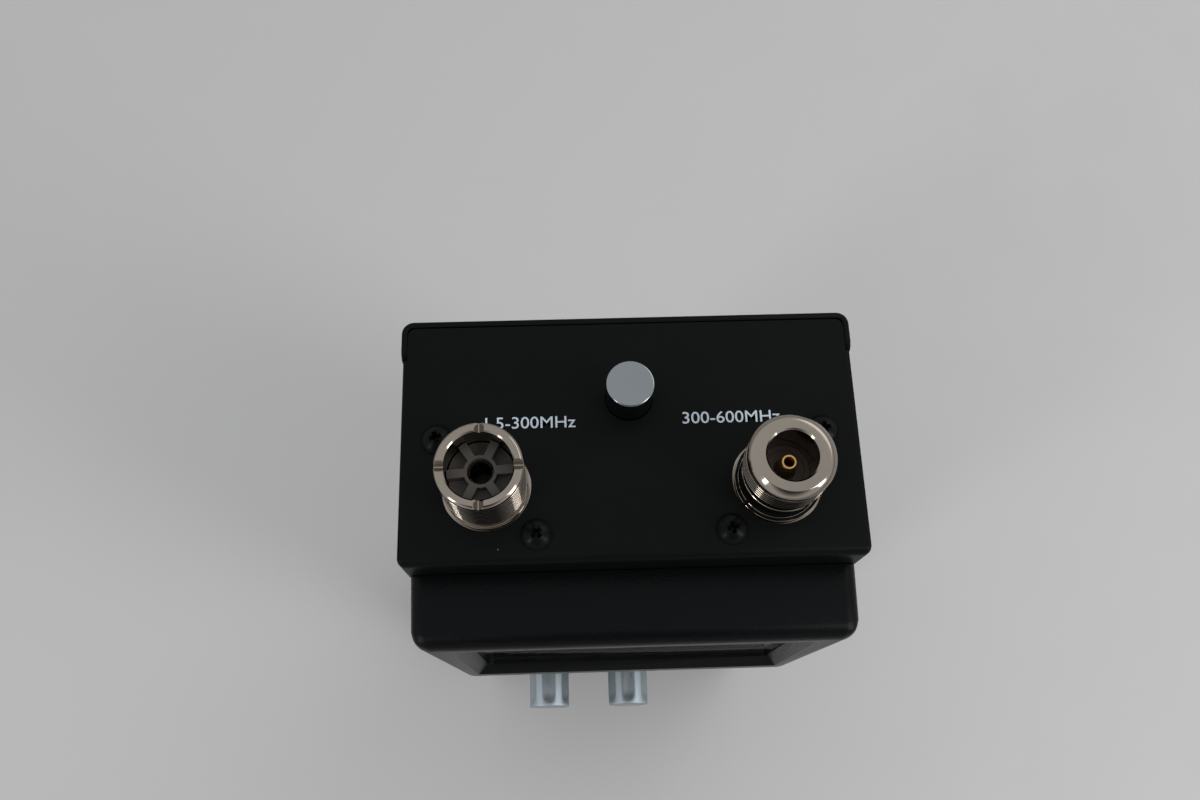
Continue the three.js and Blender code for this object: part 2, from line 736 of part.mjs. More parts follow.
function controlBoard() {
  const through = [board_front_y - cut_overrun, board_front_y + board_thickness + cut_overrun];
  const board = block(about(0, 2 * board_half_width), [board_front_y, board_front_y + board_thickness],
    [board_bottom, board_top]);
  const holes = standoffs.map(({ x, z }) => rodY(standoff_bore_radius, through, x, z));
  place('control_board', cut(board, ...holes), 'circuit_board');
  standoffs.forEach(({ x, z }, i) => {
    const sleeve = rodY(standoff_radius, [plate_y + lap_gap, board_front_y - lap_gap],
      x, z, hexagon_facets);
    const bore = rodY(standoff_bore_radius, [plate_y - cut_overrun, board_front_y + cut_overrun], x, z);
    place(`board_standoff_${i + 1}`, sleeve.subtract(bore), 'steel');
  });
}

// The rotary switch and the tuning control: a round body with solder lugs and a threaded bush
function controlBody({ body, x, can_radius }) {
  const front = plate_y + lap_gap;
  const rear = front + control_body_depth;
  const bush_end = front_y - bush_length;
  const can = rodY(can_radius, [front, rear], x, controls_z, round_facets);
  const lugs = block(about(x, control_lug_width), [rear - board_thickness, rear],
    [controls_z - can_radius - control_lug_drop, controls_z]);
  const bush = rodY(bush_radius, [bush_end, front + cut_overrun], x, controls_z, round_facets);
  const bore = rodY(shaft_neck_radius + fit_gap,
    [bush_end - cut_overrun, front + shaft_inner_end + fit_gap], x, controls_z);
  place(body, cut(join(can, lugs, bush), bore), 'steel');
}

function controlNut({ name, x }) {
  const corner_radius = nut_across_flats / 2 / Math.cos(Math.PI / hexagon_facets);
  const rear = front_y - lap_gap;
  const front = rear - nut_thickness;
  const nut = rodY(corner_radius, [front, rear], x, controls_z, hexagon_facets);
  const bore = rodY(bush_radius + thread_gap, [front - cut_overrun, rear + cut_overrun],
    x, controls_z, round_facets);
  place(`${name}_nut`, nut.subtract(bore), 'steel');
}

function controlShaft({ name, x }) {
  const bush_end = -front_y + bush_length;
  const end = -knob_base_y + knob_bore_depth - fit_gap;
  const start = -(plate_y + lap_gap + shaft_inner_end);
  const profile = [
    [0, start], [shaft_neck_radius, start], [shaft_neck_radius, bush_end + fit_gap],
    [shaft_radius, bush_end + fit_gap], [shaft_radius, end], [0, end],
  ];
  place(`${name}_shaft`, turnedForward(profile, { x, z: controls_z }, round_facets), 'steel');
}

// A knob with round-ended flutes that stop short of its tip
function controlKnob({ name, x }) {
  const base = -knob_base_y;
  const tip = -knob_tip_y;
  const profile = [
    [0, base], [knob_radius, base], [knob_radius, tip - knob_tip_chamfer],
    [knob_radius - knob_tip_chamfer, tip], [0, tip],
  ];
  let knob = turnedForward(profile, {}, fine_facets);
  const flute_end = tip - knob_flute_rim - knob_flute_radius;
  const axis_offset = knob_radius + knob_flute_radius - knob_flute_depth;
  const flute = rodY(knob_flute_radius, [-flute_end, -base + cut_overrun], axis_offset, 0, round_facets);
  const ball = new THREE.SphereGeometry(knob_flute_radius, round_facets, small_facets);
  const groove = join(flute, solid(ball.translate(axis_offset, -flute_end, 0)));
  for (let i = 0; i < knob_flutes; i += 1) {
    const turn = (i + first_flute_share) * (full_turn / knob_flutes);
    knob = knob.subtract(groove.rotate([0, turn, 0]));
  }
  const mouth = knob_base_y + cut_overrun;
  const bore = rodY(shaft_radius + thread_gap, [knob_base_y - knob_bore_depth, mouth], 0, 0, round_facets);
  const bush_room = rodY(bush_radius + fit_gap, [front_y - bush_length - fit_gap, mouth],
    0, 0, round_facets);
  place(`${name}_knob`, cut(knob, bore, bush_room).translate([x, 0, controls_z]), 'knob_aluminium');
}

// The chrome button is a cap over a plunger, which runs down into the push switch
function powerButton() {
  const top = case_height + button_height;
  const bottom = case_height - button_skirt;
  const profile = [[0, top], [button_radius - button_edge_radius, top]];
  for (let i = 1; i <= corner_facets; i += 1) {
    const angle = (i / corner_facets) * (Math.PI / 2);
    profile.push([
      button_radius - button_edge_radius * (1 - Math.sin(angle)),
      top - button_edge_radius * (1 - Math.cos(angle)),
    ]);
  }
  const inner = button_radius - button_wall;
  const ceiling = bottom + button_skirt;
  profile.push([button_radius, bottom], [inner, bottom], [inner, ceiling], [0, ceiling]);
  const socket = rodZ(plunger_radius + seat_gap, [ceiling - cut_overrun, ceiling + plunger_into_cap], 0, 0);
  const cap = cut(turned(profile, {}, fine_facets), socket);
  place('power_button', cap.translate([0, button_y, 0]), 'chrome');
  const stem = rodZ(plunger_radius,
    [switch_top_z - plunger_engagement, ceiling + plunger_into_cap - seat_gap], 0, button_y);
  place('power_plunger', stem, 'dark_plastic');
}

function powerSwitch() {
  const down = [switch_top_z - switch_length, switch_top_z];
  const body = block(about(0, switch_width), about(button_y, 2 * switch_half_depth), down);
  const well = rodZ(plunger_radius + fit_gap,
    [switch_top_z - plunger_engagement - button_travel - fit_gap, switch_top_z + cut_overrun], 0, button_y);
  place('power_switch', cut(body, well), 'dark_plastic');
  const across = about(0, switch_width);
  const front = button_y + switch_half_depth + seat_gap;
  const top = under_top_z - lap_gap;
  const hanger = join(
    block(across, [front, front + bracket_sheet], [down[0], top]),
    block(across, [front, front + bracket_flange], [top - bracket_sheet, top]));
  place('switch_bracket', hanger, 'steel');
}

// The flange of a socket under the top plate, with tapped holes for its two screws
function flangePlate(x, bore_radius) {
  const through = [flange_bottom_z - cut_overrun, flange_top_z + cut_overrun];
  const outline = rounded(about(x, flange_side), about(socket_y, flange_side), flange_corner_radius);
  const tapped = socket_screws
    .filter((screw) => Math.sign(screw.x) === Math.sign(x))
    .map((screw) => rodZ(socket_screw_radius + thread_gap, through, screw.x, screw.y));
  const bore = rodZ(bore_radius, through, x, socket_y, fine_facets);
  return cut(extruded(outline, 'xy', flange_bottom_z, flange_top_z), bore, ...tapped);
}

// The left socket: a threaded shell with a notched rim and a spoked insulator round its contact
function uhfSocket() {
  const x = -socket_x;
  const at = { x, y: socket_y, z: case_height };
  const low = flange_bottom_z - case_height;
  const neck_radius = thread_radius - uhf_neck_step;
  const shell = turned([
    [uhf_bore_radius, low], [collar_radius, low], [collar_radius, collar_height],
    [neck_radius, collar_height], [neck_radius, uhf_neck_height], [thread_radius, uhf_neck_height],
    [thread_radius, uhf_height - uhf_rim_chamfer], [thread_radius - uhf_rim_chamfer, uhf_height],
    [uhf_bore_radius, uhf_height],
  ], at);
  const rim = case_height + uhf_height;
  const notches = [];
  for (let i = 0; i < uhf_notches; i += 1) {
    const notch = block([uhf_bore_radius - cut_overrun, thread_radius + cut_overrun],
      about(0, uhf_notch_width), [rim - uhf_notch_depth, rim + cut_overrun]);
    notches.push(notch.rotate([0, 0, i * full_turn / uhf_notches]).translate([x, socket_y, 0]));
  }
  place('uhf_shell', cut(join(shell, flangePlate(x, uhf_bore_radius)), ...notches), 'nickel');

  const radius = uhf_bore_radius - thread_gap;
  const face = uhf_height - uhf_insulator_recess;
  const tail = low - uhf_insulator_tail;
  const hole = uhf_contact_radius + thread_gap;
  const wheel = turned([[hole, tail], [radius, tail], [radius, face], [hole, face]], at);
  const rim_radius = radius - uhf_pocket_rim;
  const pockets = [];
  const spoke_half_angle = Math.asin(uhf_spoke_width / 2 / uhf_hub_radius);
  const rim_half_angle = Math.asin(uhf_spoke_width / 2 / rim_radius);
  for (let i = 0; i < uhf_spokes; i += 1) {
    const start = i * (2 * Math.PI / uhf_spokes);
    const next = start + 2 * Math.PI / uhf_spokes;
    const pocket = new THREE.Shape();
    pocket.absarc(0, 0, rim_radius, start + rim_half_angle, next - rim_half_angle, false);
    pocket.absarc(0, 0, uhf_hub_radius, next - spoke_half_angle, start + spoke_half_angle, true);
    const well = extruded(pocket, 'xy', face - uhf_pocket_depth, face + cut_overrun);
    pockets.push(well.translate([x, socket_y, case_height]));
  }
  place('uhf_insulator', cut(wheel, ...pockets), 'insulator_grey');

  const mouth = face - uhf_contact_recess;
  const contact_low = tail - contact_tail_length + uhf_insulator_tail;
  const contact = turned([
    [0, contact_low], [uhf_tail_radius, contact_low], [uhf_tail_radius, tail + uhf_insulator_step],
    [uhf_contact_radius, tail + uhf_insulator_step], [uhf_contact_radius, mouth],
    [uhf_contact_bore_radius, mouth], [uhf_contact_bore_radius, mouth - uhf_contact_bore_depth],
    [0, mouth - uhf_contact_bore_depth],
  ], at, round_facets);
  place('uhf_contact', contact, 'nickel');
}

// The right socket: a threaded shell with a bevelled rim and a slim contact deep inside
function nSocket() {
  const x = socket_x;
  const at = { x, y: socket_y, z: case_height };
  const low = flange_bottom_z - case_height;
  const shell = turned([
    [n_bore_radius, low], [collar_radius, low], [collar_radius, collar_height],
    [n_neck_radius, collar_height], [n_neck_radius, n_collar_height], [n_step_radius, n_collar_height],
    [n_step_radius, n_step_bottom], [n_neck_radius, n_step_bottom], [n_neck_radius, n_thread_bottom],
    [thread_radius, n_thread_bottom], [thread_radius, n_height - n_rim_bevel], [n_rim_radius, n_height],
    [n_bore_radius + n_bore_chamfer, n_height], [n_bore_radius, n_height - n_bore_chamfer],
  ], at);
  place('n_shell', join(shell, flangePlate(x, n_bore_radius)), 'nickel');

  const floor = n_height - n_bore_depth;
  const tail = low - n_insulator_tail;
  const hole = n_contact_radius + thread_gap;
  place('n_insulator', turned([
    [hole, tail], [n_insulator_radius, tail], [n_insulator_radius, floor],
    [n_insulator_hub_radius, floor], [n_insulator_hub_radius, floor + n_insulator_hub_height],
    [hole, floor + n_insulator_hub_height],
  ], at, round_facets), 'insulator_dark');

  const mouth = n_height - n_contact_recess;
  const contact_low = tail - contact_tail_length + n_insulator_tail;
  place('n_contact', turned([
    [0, contact_low], [n_contact_radius, contact_low], [n_contact_radius, mouth],
    [n_contact_bore_radius, mouth], [n_contact_bore_radius, mouth - n_contact_bore_depth],
    [0, mouth - n_contact_bore_depth],
  ], at, small_facets), 'gold');
}

// The board behind the sockets carries a tin shield, and two angles hold it to the sides
function rfBoard() {
  const front = socket_y + uhf_tail_radius + seat_gap;
  const rear = front + board_thickness;
  const board = block(about(0, 2 * rf_board_half_width), [front, rear], [rf_board_bottom, rf_board_top]);
  const outline = rounded(about(0, 2 * (rf_board_half_width - rf_shield_side_inset)),
    [rf_board_bottom + rf_shield_end_inset, rf_board_top - rf_shield_end_inset], flange_corner_radius);
  const shield = extruded(outline, 'xz', front - rf_shield_depth, front + board_thickness / 2);
  place('rf_board', join(board, shield), 'circuit_board');
  [['left', -1], ['right', 1]].forEach(([name, side]) => {
    const wall = inner_half_width - lap_gap;
    const sheet_y = rear + lap_gap;
    const up = about((rf_board_top + rf_board_bottom) / 2, rf_bracket_height);
    const on_board = block([rf_board_half_width - rf_bracket_reach, wall],
      [sheet_y, sheet_y + bracket_sheet], up);
    const on_wall = block([wall - bracket_sheet, wall], [sheet_y, rear + rf_bracket_reach], up);
    const angle = join(on_board, on_wall);
    place(`rf_bracket_${name}`, side > 0 ? angle : angle.mirror([1, 0, 0]), 'steel');
  });
}

// The supply jack: a bush in the side wall, a square body behind it and a centre pin
function dcJack() {
  const wall = inner_half_width - lap_gap;
  const face = half_width + lap_gap;
  const mouth = face + jack_rim;
  const floor = mouth - jack_bore_depth;
  const rod = (radius, across) => rodX(radius, across, jack_y, jack_z, round_facets);
  const body = block([wall - jack_body_length, wall], about(jack_y, jack_body_width),
    about(jack_z, jack_body_height));
  const bush = rod(jack_bush_radius, [wall - cut_overrun, mouth]);
  const rim = rod(jack_rim_radius, [face, mouth]);
  const bore = rod(jack_bore_radius, [floor, mouth + cut_overrun]);
  const pin = rodX(jack_pin_radius, [floor - cut_overrun, mouth - jack_pin_recess], jack_y, jack_z);
  place('dc_jack', join(cut(join(body, bush, rim), bore), pin), 'black_plastic');
}

// Six cells lie one above the other in a holder whose channels follow them, inside the rear cover
function batteries() {
  const pitch = 2 * cell_radius + cell_gap;
  const cell_y = back_y - cover_sheet - seat_gap - holder_wall - fit_gap - cell_radius;
  const first_z = holder_bottom + holder_wall + fit_gap + cell_radius;
  const inner_half = (cell_length + cell_cap_height) / 2 + cell_end_gap;
  const outer_half = inner_half + holder_wall;
  const rear = back_y - cover_sheet - seat_gap;
  const front = cell_y - cell_radius * holder_lip_share;
  const top = first_z + (cell_count - 1) * pitch + cell_radius + fit_gap + holder_wall;
  const body = block([-outer_half, outer_half], [front, rear], [holder_bottom, top]);
  const channels = [];
  for (let i = 0; i < cell_count; i += 1) {
    const z = first_z + i * pitch;
    channels.push(rodX(cell_radius + fit_gap, [-inner_half, inner_half], cell_y, z, round_facets));
    channels.push(block([-inner_half, inner_half], [front - cut_overrun, cell_y],
      about(z, 2 * (cell_radius + fit_gap))));
    const facing = i % 2 ? -1 : 1;
    const cell = join(
      rodX(cell_radius, about(-facing * cell_cap_height / 2, cell_length), cell_y, z, round_facets),
      rodX(cell_cap_radius, about(facing * (cell_length - cell_cap_height) / 2, 2 * cell_cap_height),
        cell_y, z));
    place(`battery_${i + 1}`, cell, 'cell_sleeve');
  }
  place('battery_holder', cut(body, ...channels), 'dark_plastic');
}

chassisBody();
rearCover();
coverScrews();
meterHousing();
housingScrews();
meterWindow();
dialPlate();
meterMovement();
needles();
frequencyDisplay();
controlBoard();
for (const control of controls) {
  controlBody(control);
  controlNut(control);
  controlShaft(control);
  controlKnob(control);
}
powerButton();
powerSwitch();
uhfSocket();
nSocket();
socketScrews();
rfBoard();
dcJack();
batteries();

export default analyzer;
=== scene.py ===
"""Looks of a handheld antenna analyzer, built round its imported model.

Lengths are in metres, in the model's own frame: X to the right of someone who faces the meter, Y to the
rear and Z up, with the origin under the middle of the case.
"""

import contextlib
import math

import bmesh
import bpy
from bpy.props import FloatProperty, FloatVectorProperty, IntProperty, PointerProperty, StringProperty
from mathutils import Euler, Matrix, Vector


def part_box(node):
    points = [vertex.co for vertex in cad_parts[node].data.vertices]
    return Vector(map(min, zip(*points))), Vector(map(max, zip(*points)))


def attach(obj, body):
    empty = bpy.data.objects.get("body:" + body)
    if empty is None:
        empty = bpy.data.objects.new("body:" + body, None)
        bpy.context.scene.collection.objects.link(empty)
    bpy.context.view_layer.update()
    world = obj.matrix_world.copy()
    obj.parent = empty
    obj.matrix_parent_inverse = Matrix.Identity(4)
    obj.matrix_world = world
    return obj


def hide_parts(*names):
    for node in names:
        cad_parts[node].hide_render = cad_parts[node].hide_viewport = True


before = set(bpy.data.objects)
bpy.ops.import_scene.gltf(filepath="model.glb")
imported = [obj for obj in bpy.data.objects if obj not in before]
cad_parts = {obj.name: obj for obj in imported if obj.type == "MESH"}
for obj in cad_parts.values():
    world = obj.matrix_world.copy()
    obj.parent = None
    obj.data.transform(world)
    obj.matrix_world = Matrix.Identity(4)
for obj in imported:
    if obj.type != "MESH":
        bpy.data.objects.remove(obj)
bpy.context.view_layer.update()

bl_info = {
    "name": "Antenna analyzer",
    "version": (1, 0, 0),
    "blender": (4, 5, 0),
    "location": "3D View > Sidebar > Analyzer",
    "description": "Builds the visible pieces of a handheld antenna analyzer round its packed model",
    "category": "Add Mesh",
}

MM = 0.001
X, Y, Z = 0, 1, 2
TOUCH = 1e-6
OVERRUN = 1 * MM
QUARTER = math.pi / 2
FULL = 2 * math.pi
BODY = "analyzer"

# Radii of the sockets' threads and foot rings, and of holes in the sheet
THREAD = 7.94 * MM
FOOT_RINGS = {"uhf_shell": (8.3 * MM,), "n_shell": (8.45 * MM, 7.75 * MM)}
SCREW_HOLE = 1.75 * MM
TIGHT_SCREW_HOLE = 1.6 * MM
BUSH_HOLE = 3.65 * MM
JACK_HOLE = 4.35 * MM

# Place of the needles' pivots, to either side, and how far the needles rise at rest
PIVOT_X = 20 * MM
PIVOT_Z = 125.7 * MM
REST_ANGLE = math.radians(20)

# How far printed ink spreads round a character
INK_SPREAD = 0.02 * MM


def linear(hex_colour):
    """Red, green and blue of an sRGB hex colour, as the renderer's linear values."""
    shares = [int(hex_colour[i:i + 2], 16) / 255 for i in (1, 3, 5)]
    return tuple(c / 12.92 if c <= 0.04045 else ((c + 0.055) / 1.055) ** 2.4 for c in shares)


def length(name, millimetres, description):
    """A length that a user may change."""
    return FloatProperty(name=name, description=description, default=millimetres * MM, unit="LENGTH",
                         precision=5)


def colour(name, hex_colour, description):
    """A colour that a user may change."""
    return FloatVectorProperty(name=name, description=description, default=linear(hex_colour),
                               subtype="COLOR", size=3, min=0, max=1)


def power(name, watts, description):
    """A lamp's power that a user may change."""
    return FloatProperty(name=name, description=description, default=watts, subtype="POWER")


class CaseSettings(bpy.types.PropertyGroup):
    """Sizes of the folded case and its rear cover."""

    fold_radius: length("Fold radius", 1.6, "Outer radius of the folds round the case's front")
    side_radius: length("Side radius", 0.8, "Radius of the top plate's side edges")
    rear_radius: length("Rear corner radius", 1.6, "Radius of the case's corners inside the cover")
    sheet: length("Case sheet", 1.2, "Thickness of the case's sheet")
    cover_sheet: length("Cover sheet", 1.1, "Thickness of the rear cover's sheet")
    cover_radius: length("Cover fold radius", 2.4, "Outer radius of the rear cover's folds")
    lip_radius: length("Lip corner radius", 2, "Radius at the ends of the rear cover's lips")
    lap_step: length("Lap step", 0.85, "How far the case's sides step in behind the cover's lips")
    hole_gap: length("Hole gap", 0.3, "Room round what passes through the case")
    edge_break: length("Edge break", 0.12, "Width of the broken edges of the cut sheet")


class MeterSettings(bpy.types.PropertyGroup):
    """Sizes of the meter housing, its window and its dial."""

    corner_radius: length("Corner radius", 3, "Radius of the housing's upper corners")
    foot_radius: length("Lower corner radius", 5, "Radius of the housing's lower corners")
    side_radius: length("Side edge radius", 3.8, "Radius between the housing's face and its sides")
    edge_radius: length("Top edge radius", 3, "Radius between the housing's face and its top")
    wall: length("Wall", 2, "Wall of the housing")
    draft: length("Draft", 0.4, "How much each side of the housing leans in towards its face")
    taper: length("Taper", 3.2, "How much each side of the housing leans in towards its foot")
    window_radius: length("Window radius", 1.5, "Radius of the corners of the panes and what they cover")
    bevel: length("Window bevel", 2.4, "Width of the bevel that leads in to the pane")
    ledge: length("Ledge", 1.4, "Width of the ledge that the pane rests on")
    scale_radius: length("Scale radius", 39, "Radius of the two scales about their pivots")
    line: length("Line", 0.35, "Width of the dial's main lines")
    number_height: length("Number height", 2.6, "Height of the dial's numbers")


class ControlSettings(bpy.types.PropertyGroup):
    """Sizes of the knobs and the power button."""

    flutes: IntProperty(name="Flutes", description="Flutes round a knob", default=6, min=3, max=12)
    flute_radius: length("Flute radius", 8, "Radius of a flute's hollow")
    flute_depth: length("Flute depth", 0.6, "Depth of a flute at its middle")
    flute_end: length("Flute end", 3.2, "Length over which a flute runs out to the surface")
    flute_rim: length("Flute rim", 0.9, "Length of the plain rim between the flutes and the tip")
    tip_radius: length("Tip radius", 0.45, "Radius of a knob's front edge")
    button_radius: length("Button edge radius", 0.35, "Radius round the top of the power button")


class SocketSettings(bpy.types.PropertyGroup):
    """Sizes of the two sockets and the screws beside them."""

    thread_pitch: length("Thread pitch", 1.058, "Distance between two turns of the threads")
    thread_depth: length("Thread depth", 0.07, "Depth of the threads, worn and filled with plating")
    notch: length("Notch", 2.1, "Width of the four notches in the left socket's rim")
    spoke: length("Spoke", 1.6, "Width of the insulator's spokes")
    spoke_turn: FloatProperty(name="Spoke turn", description="How far the spokes are turned from the side",
                              default=math.radians(4), subtype="ANGLE")
    lip: length("Foot ring", 0.25, "Width of the thin rings round a socket's foot")
    cross: length("Cross", 1.2, "Width of a screw's cross recess")


class MarkingSettings(bpy.types.PropertyGroup):
    """Plain markings of the top plate and the front panel."""

    low_range: StringProperty(name="Low range", description="Range beside the left socket",
                              default="1.5-300MHz")
    high_range: StringProperty(name="High range", description="Range beside the right socket",
                               default="300-600MHz")
    range_height: length("Range height", 2.45, "Height of the capitals of the two ranges")
    number_height: length("Number height", 2.2, "Height of the numbers round the band knob")
    ink: length("Ink", 0.03, "Thickness of all printed ink")


class FinishSettings(bpy.types.PropertyGroup):
    """Colours of the finishes."""

    paint: colour("Paint", "#0a0b0b", "Satin black paint of the case and the rear cover")
    housing: colour("Housing", "#08090a", "Black moulded plastic of the meter housing")
    nickel: colour("Nickel", "#968d82", "Nickel plating of the sockets")
    chrome: colour("Chrome", "#8a8f92", "Satin chrome plating of the power button")
    knob: colour("Knob", "#a5afb4", "Polished aluminium of the knobs")
    white_ink: colour("White ink", "#afbac2", "Ink of the markings on black paint")
    card: colour("Card", "#101112", "Black printed card of the dial")
    print: colour("Print", "#c9ccc8", "White print of the dial, and its needles")
    display: colour("Display", "#8d9c78", "Face of the frequency display")
    floor: colour("Floor", "#b7b6b5", "Floor that the analyzer stands on")


class StageSettings(bpy.types.PropertyGroup):
    """Camera and lamps."""

    focal: FloatProperty(name="Focal length", description="Focal length for a 36 mm wide frame",
                         default=31.72, min=1)
    key: power("Key lamp", 3.5, "Power of the large lamp at the right rear")
    strip: power("Strip lamp", 3.5, "Power of the narrow lamp at the right front")
    fill: power("Fill lamp", 1.5, "Power of the lamp at the left")
    sky: FloatProperty(name="Surroundings", description="Strength of the room's even light", default=0.8,
                       min=0)


def deselect():
    """Leaves nothing selected."""
    bpy.ops.object.select_all(action="DESELECT")


def activate(piece):
    """Selects one piece alone."""
    deselect()
    piece.select_set(True)
    bpy.context.view_layer.objects.active = piece


def named(name):
    """The piece that was just added, under its name."""
    piece = bpy.context.object
    piece.name = name
    piece.data.name = name
    return piece


def settle(piece, place=(0, 0, 0), turn=(0, 0, 0)):
    """Puts a piece at its place and writes that place into its mesh."""
    activate(piece)
    piece.matrix_world = Matrix.LocRotScale(Vector(place), Euler(turn), None) @ piece.matrix_world
    bpy.ops.object.transform_apply(location=True, rotation=True, scale=True)
    return piece


def around(node):
    """The lowest corner, the highest corner and the middle of a CAD node's box."""
    low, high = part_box(node)
    return low, high, (low + high) / 2


@contextlib.contextmanager
def shaping(piece):
    """Edit mode on one piece."""
    activate(piece)
    bpy.ops.object.mode_set(mode="EDIT")
    yield
    bpy.ops.object.mode_set(mode="OBJECT")


def choose(kind, test):
    """In edit mode, selects the vertices, edges or faces for which the test holds."""
    bpy.ops.mesh.select_mode(type=kind)
    bpy.ops.mesh.select_all(action="DESELECT")
    data = bpy.context.object.data
    mesh = bmesh.from_edit_mesh(data)
    for item in {"VERT": mesh.verts, "EDGE": mesh.edges, "FACE": mesh.faces}[kind]:
        if test(item):
            item.select_set(True)
    mesh.select_flush_mode()
    bmesh.update_edit_mesh(data)


def lies_on(item, axis, value):
    """Whether every point of an edge or a face has the given value on an axis."""
    return all(abs(vertex.co[axis] - value) < TOUCH for vertex in item.verts)


def runs_along(edge, axis):
    """Whether an edge runs along an axis."""
    first, last = edge.verts
    return abs((last.co - first.co).normalized()[axis]) > 1 - TOUCH


def slab(name, low, high):
    """A block between two corners."""
    low, high = Vector(low), Vector(high)
    deselect()
    bpy.ops.mesh.primitive_cube_add(size=1, location=(low + high) / 2, scale=high - low)
    bpy.ops.object.transform_apply(location=True, rotation=False, scale=True)
    return named(name)


def rounded(name, low, high, axis, radius, steps=8):
    """A block whose edges along one axis are rounded."""
    piece = slab(name, low, high)
    with shaping(piece):
        choose("EDGE", lambda edge: runs_along(edge, axis))
        bpy.ops.mesh.bevel(offset=radius, segments=steps, affect="EDGES", clamp_overlap=False)
    return piece


def opening(node, margin, near, far):
    """A tool along Y with rounded corners, larger than a CAD node by a margin all round."""
    low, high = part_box(node)
    return rounded("opening", (low.x - margin, near, low.z - margin),
                   (high.x + margin, far, high.z + margin), Y,
                   bpy.context.scene.analyzer_meter.window_radius)


def narrow(piece, axis, side, value, centre=None):
    """Resizes the face at one end of a piece."""
    with shaping(piece):
        choose("FACE", lambda face: face.normal[axis] * side > 0.5)
        bpy.ops.transform.resize(value=value, **({"center_override": centre} if centre else {}))
    return piece


def apply(piece, kind, **settings):
    """Adds a modifier to a piece and applies it."""
    activate(piece)
    modifier = piece.modifiers.new(kind.title(), kind)
    for key, value in settings.items():
        setattr(modifier, key, value)
    bpy.ops.object.modifier_apply(modifier=modifier.name)
    return piece


def soften(piece, radii, steps):
    """Rounds edges, each with its own radius: pairs of a radius and the test that finds its edges."""
    widest = max(radius for radius, _ in radii)
    mesh = bmesh.new()
    mesh.from_mesh(piece.data)
    weight = mesh.edges.layers.float.new("bevel_weight_edge")
    for edge in mesh.edges:
        edge[weight] = max((radius / widest for radius, test in radii if test(edge)), default=0)
    mesh.to_mesh(piece.data)
    mesh.free()
    return apply(piece, "BEVEL", width=widest, segments=steps, limit_method="WEIGHT",
                 use_clamp_overlap=False)


def break_edges(piece, width, steps=2, angle=50):
    """Takes the sharpness off a piece's edges, so that they catch the light."""
    return apply(piece, "BEVEL", width=width, segments=steps, limit_method="ANGLE",
                 angle_limit=math.radians(angle), use_clamp_overlap=True, miter_outer="MITER_ARC")


def carve(piece, *tools, operation="DIFFERENCE"):
    """Cuts tools away from a piece, or joins them to it, and removes the tools."""
    for tool in tools:
        apply(piece, "BOOLEAN", object=tool, operation=operation, solver="EXACT")
        bpy.data.objects.remove(tool)
    return piece


def gather(name, *pieces):
    """One piece out of several that lie on or in each other."""
    deselect()
    for piece in pieces:
        piece.select_set(True)
    bpy.context.view_layer.objects.active = pieces[0]
    if len(pieces) > 1:
        bpy.ops.object.join()
    return named(name)


def rod(radius, start, end, facets=64):
    """A round tool between two points that differ on one axis."""
    start, end = Vector(start), Vector(end)
    along = end - start
    deselect()
    bpy.ops.mesh.primitive_cylinder_add(
        vertices=facets, radius=radius, depth=along.length, location=(start + end) / 2,
        rotation=Vector((0, 0, 1)).rotation_difference(along).to_euler())
    bpy.ops.object.transform_apply(location=True, rotation=True, scale=True)
    return named("tool")


def hole(node, axis, radius, near, far, facets=64):
    """A round tool through the middle of a CAD node, between two places on an axis."""
    start = around(node)[2]
    end = start.copy()
    start[axis], end[axis] = near, far
    return rod(radius, start, end, facets)


def turned(name, profile, place=(0, 0, 0), facets=96, ring=False):
    """A piece turned about a line along Z. Circles of the profile's radii are extruded from one height
    to the next. A ring's last circle is bridged to its first, and a solid's two ends are filled."""
    (radius, height), *steps = profile
    deselect()
    bpy.ops.mesh.primitive_circle_add(vertices=facets, radius=radius, location=(0, 0, height),
                                      fill_type="NOTHING")
    bpy.ops.object.transform_apply(location=True, rotation=False, scale=False)
    piece = named(name)
    with shaping(piece):
        bpy.ops.mesh.select_mode(type="VERT")
        bpy.ops.mesh.select_all(action="SELECT")
        for next_radius, next_height in steps:
            rise = next_height - height
            bpy.ops.mesh.extrude_region_move(TRANSFORM_OT_translate={"value": (0, 0, rise)})
            share = next_radius / radius
            bpy.ops.transform.resize(value=(share, share, 1), center_override=(0, 0, next_height))
            radius, height = next_radius, next_height
        choose("EDGE", lambda edge: edge.is_boundary)
        if ring:
            bpy.ops.mesh.bridge_edge_loops()
        else:
            bpy.ops.mesh.fill_holes(sides=0)
        bpy.ops.mesh.select_all(action="SELECT")
        bpy.ops.mesh.normals_make_consistent(inside=False)
    return settle(piece, place)


def tip(radius, top, edge, steps):
    """The rounded outer edge of a turned piece's top, as points of its profile."""
    angles = [QUARTER * i / steps for i in range(steps + 1)]
    return [(radius - edge + edge * math.cos(a), top - edge + edge * math.sin(a)) for a in angles]


def copied(piece, name, place=(0, 0, 0), turn=(0, 0, 0)):
    """A copy of a piece with its own mesh, at its place."""
    other = piece.copy()
    other.data = piece.data.copy()
    other.name = other.data.name = name
    bpy.context.collection.objects.link(other)
    return settle(other, place, turn)


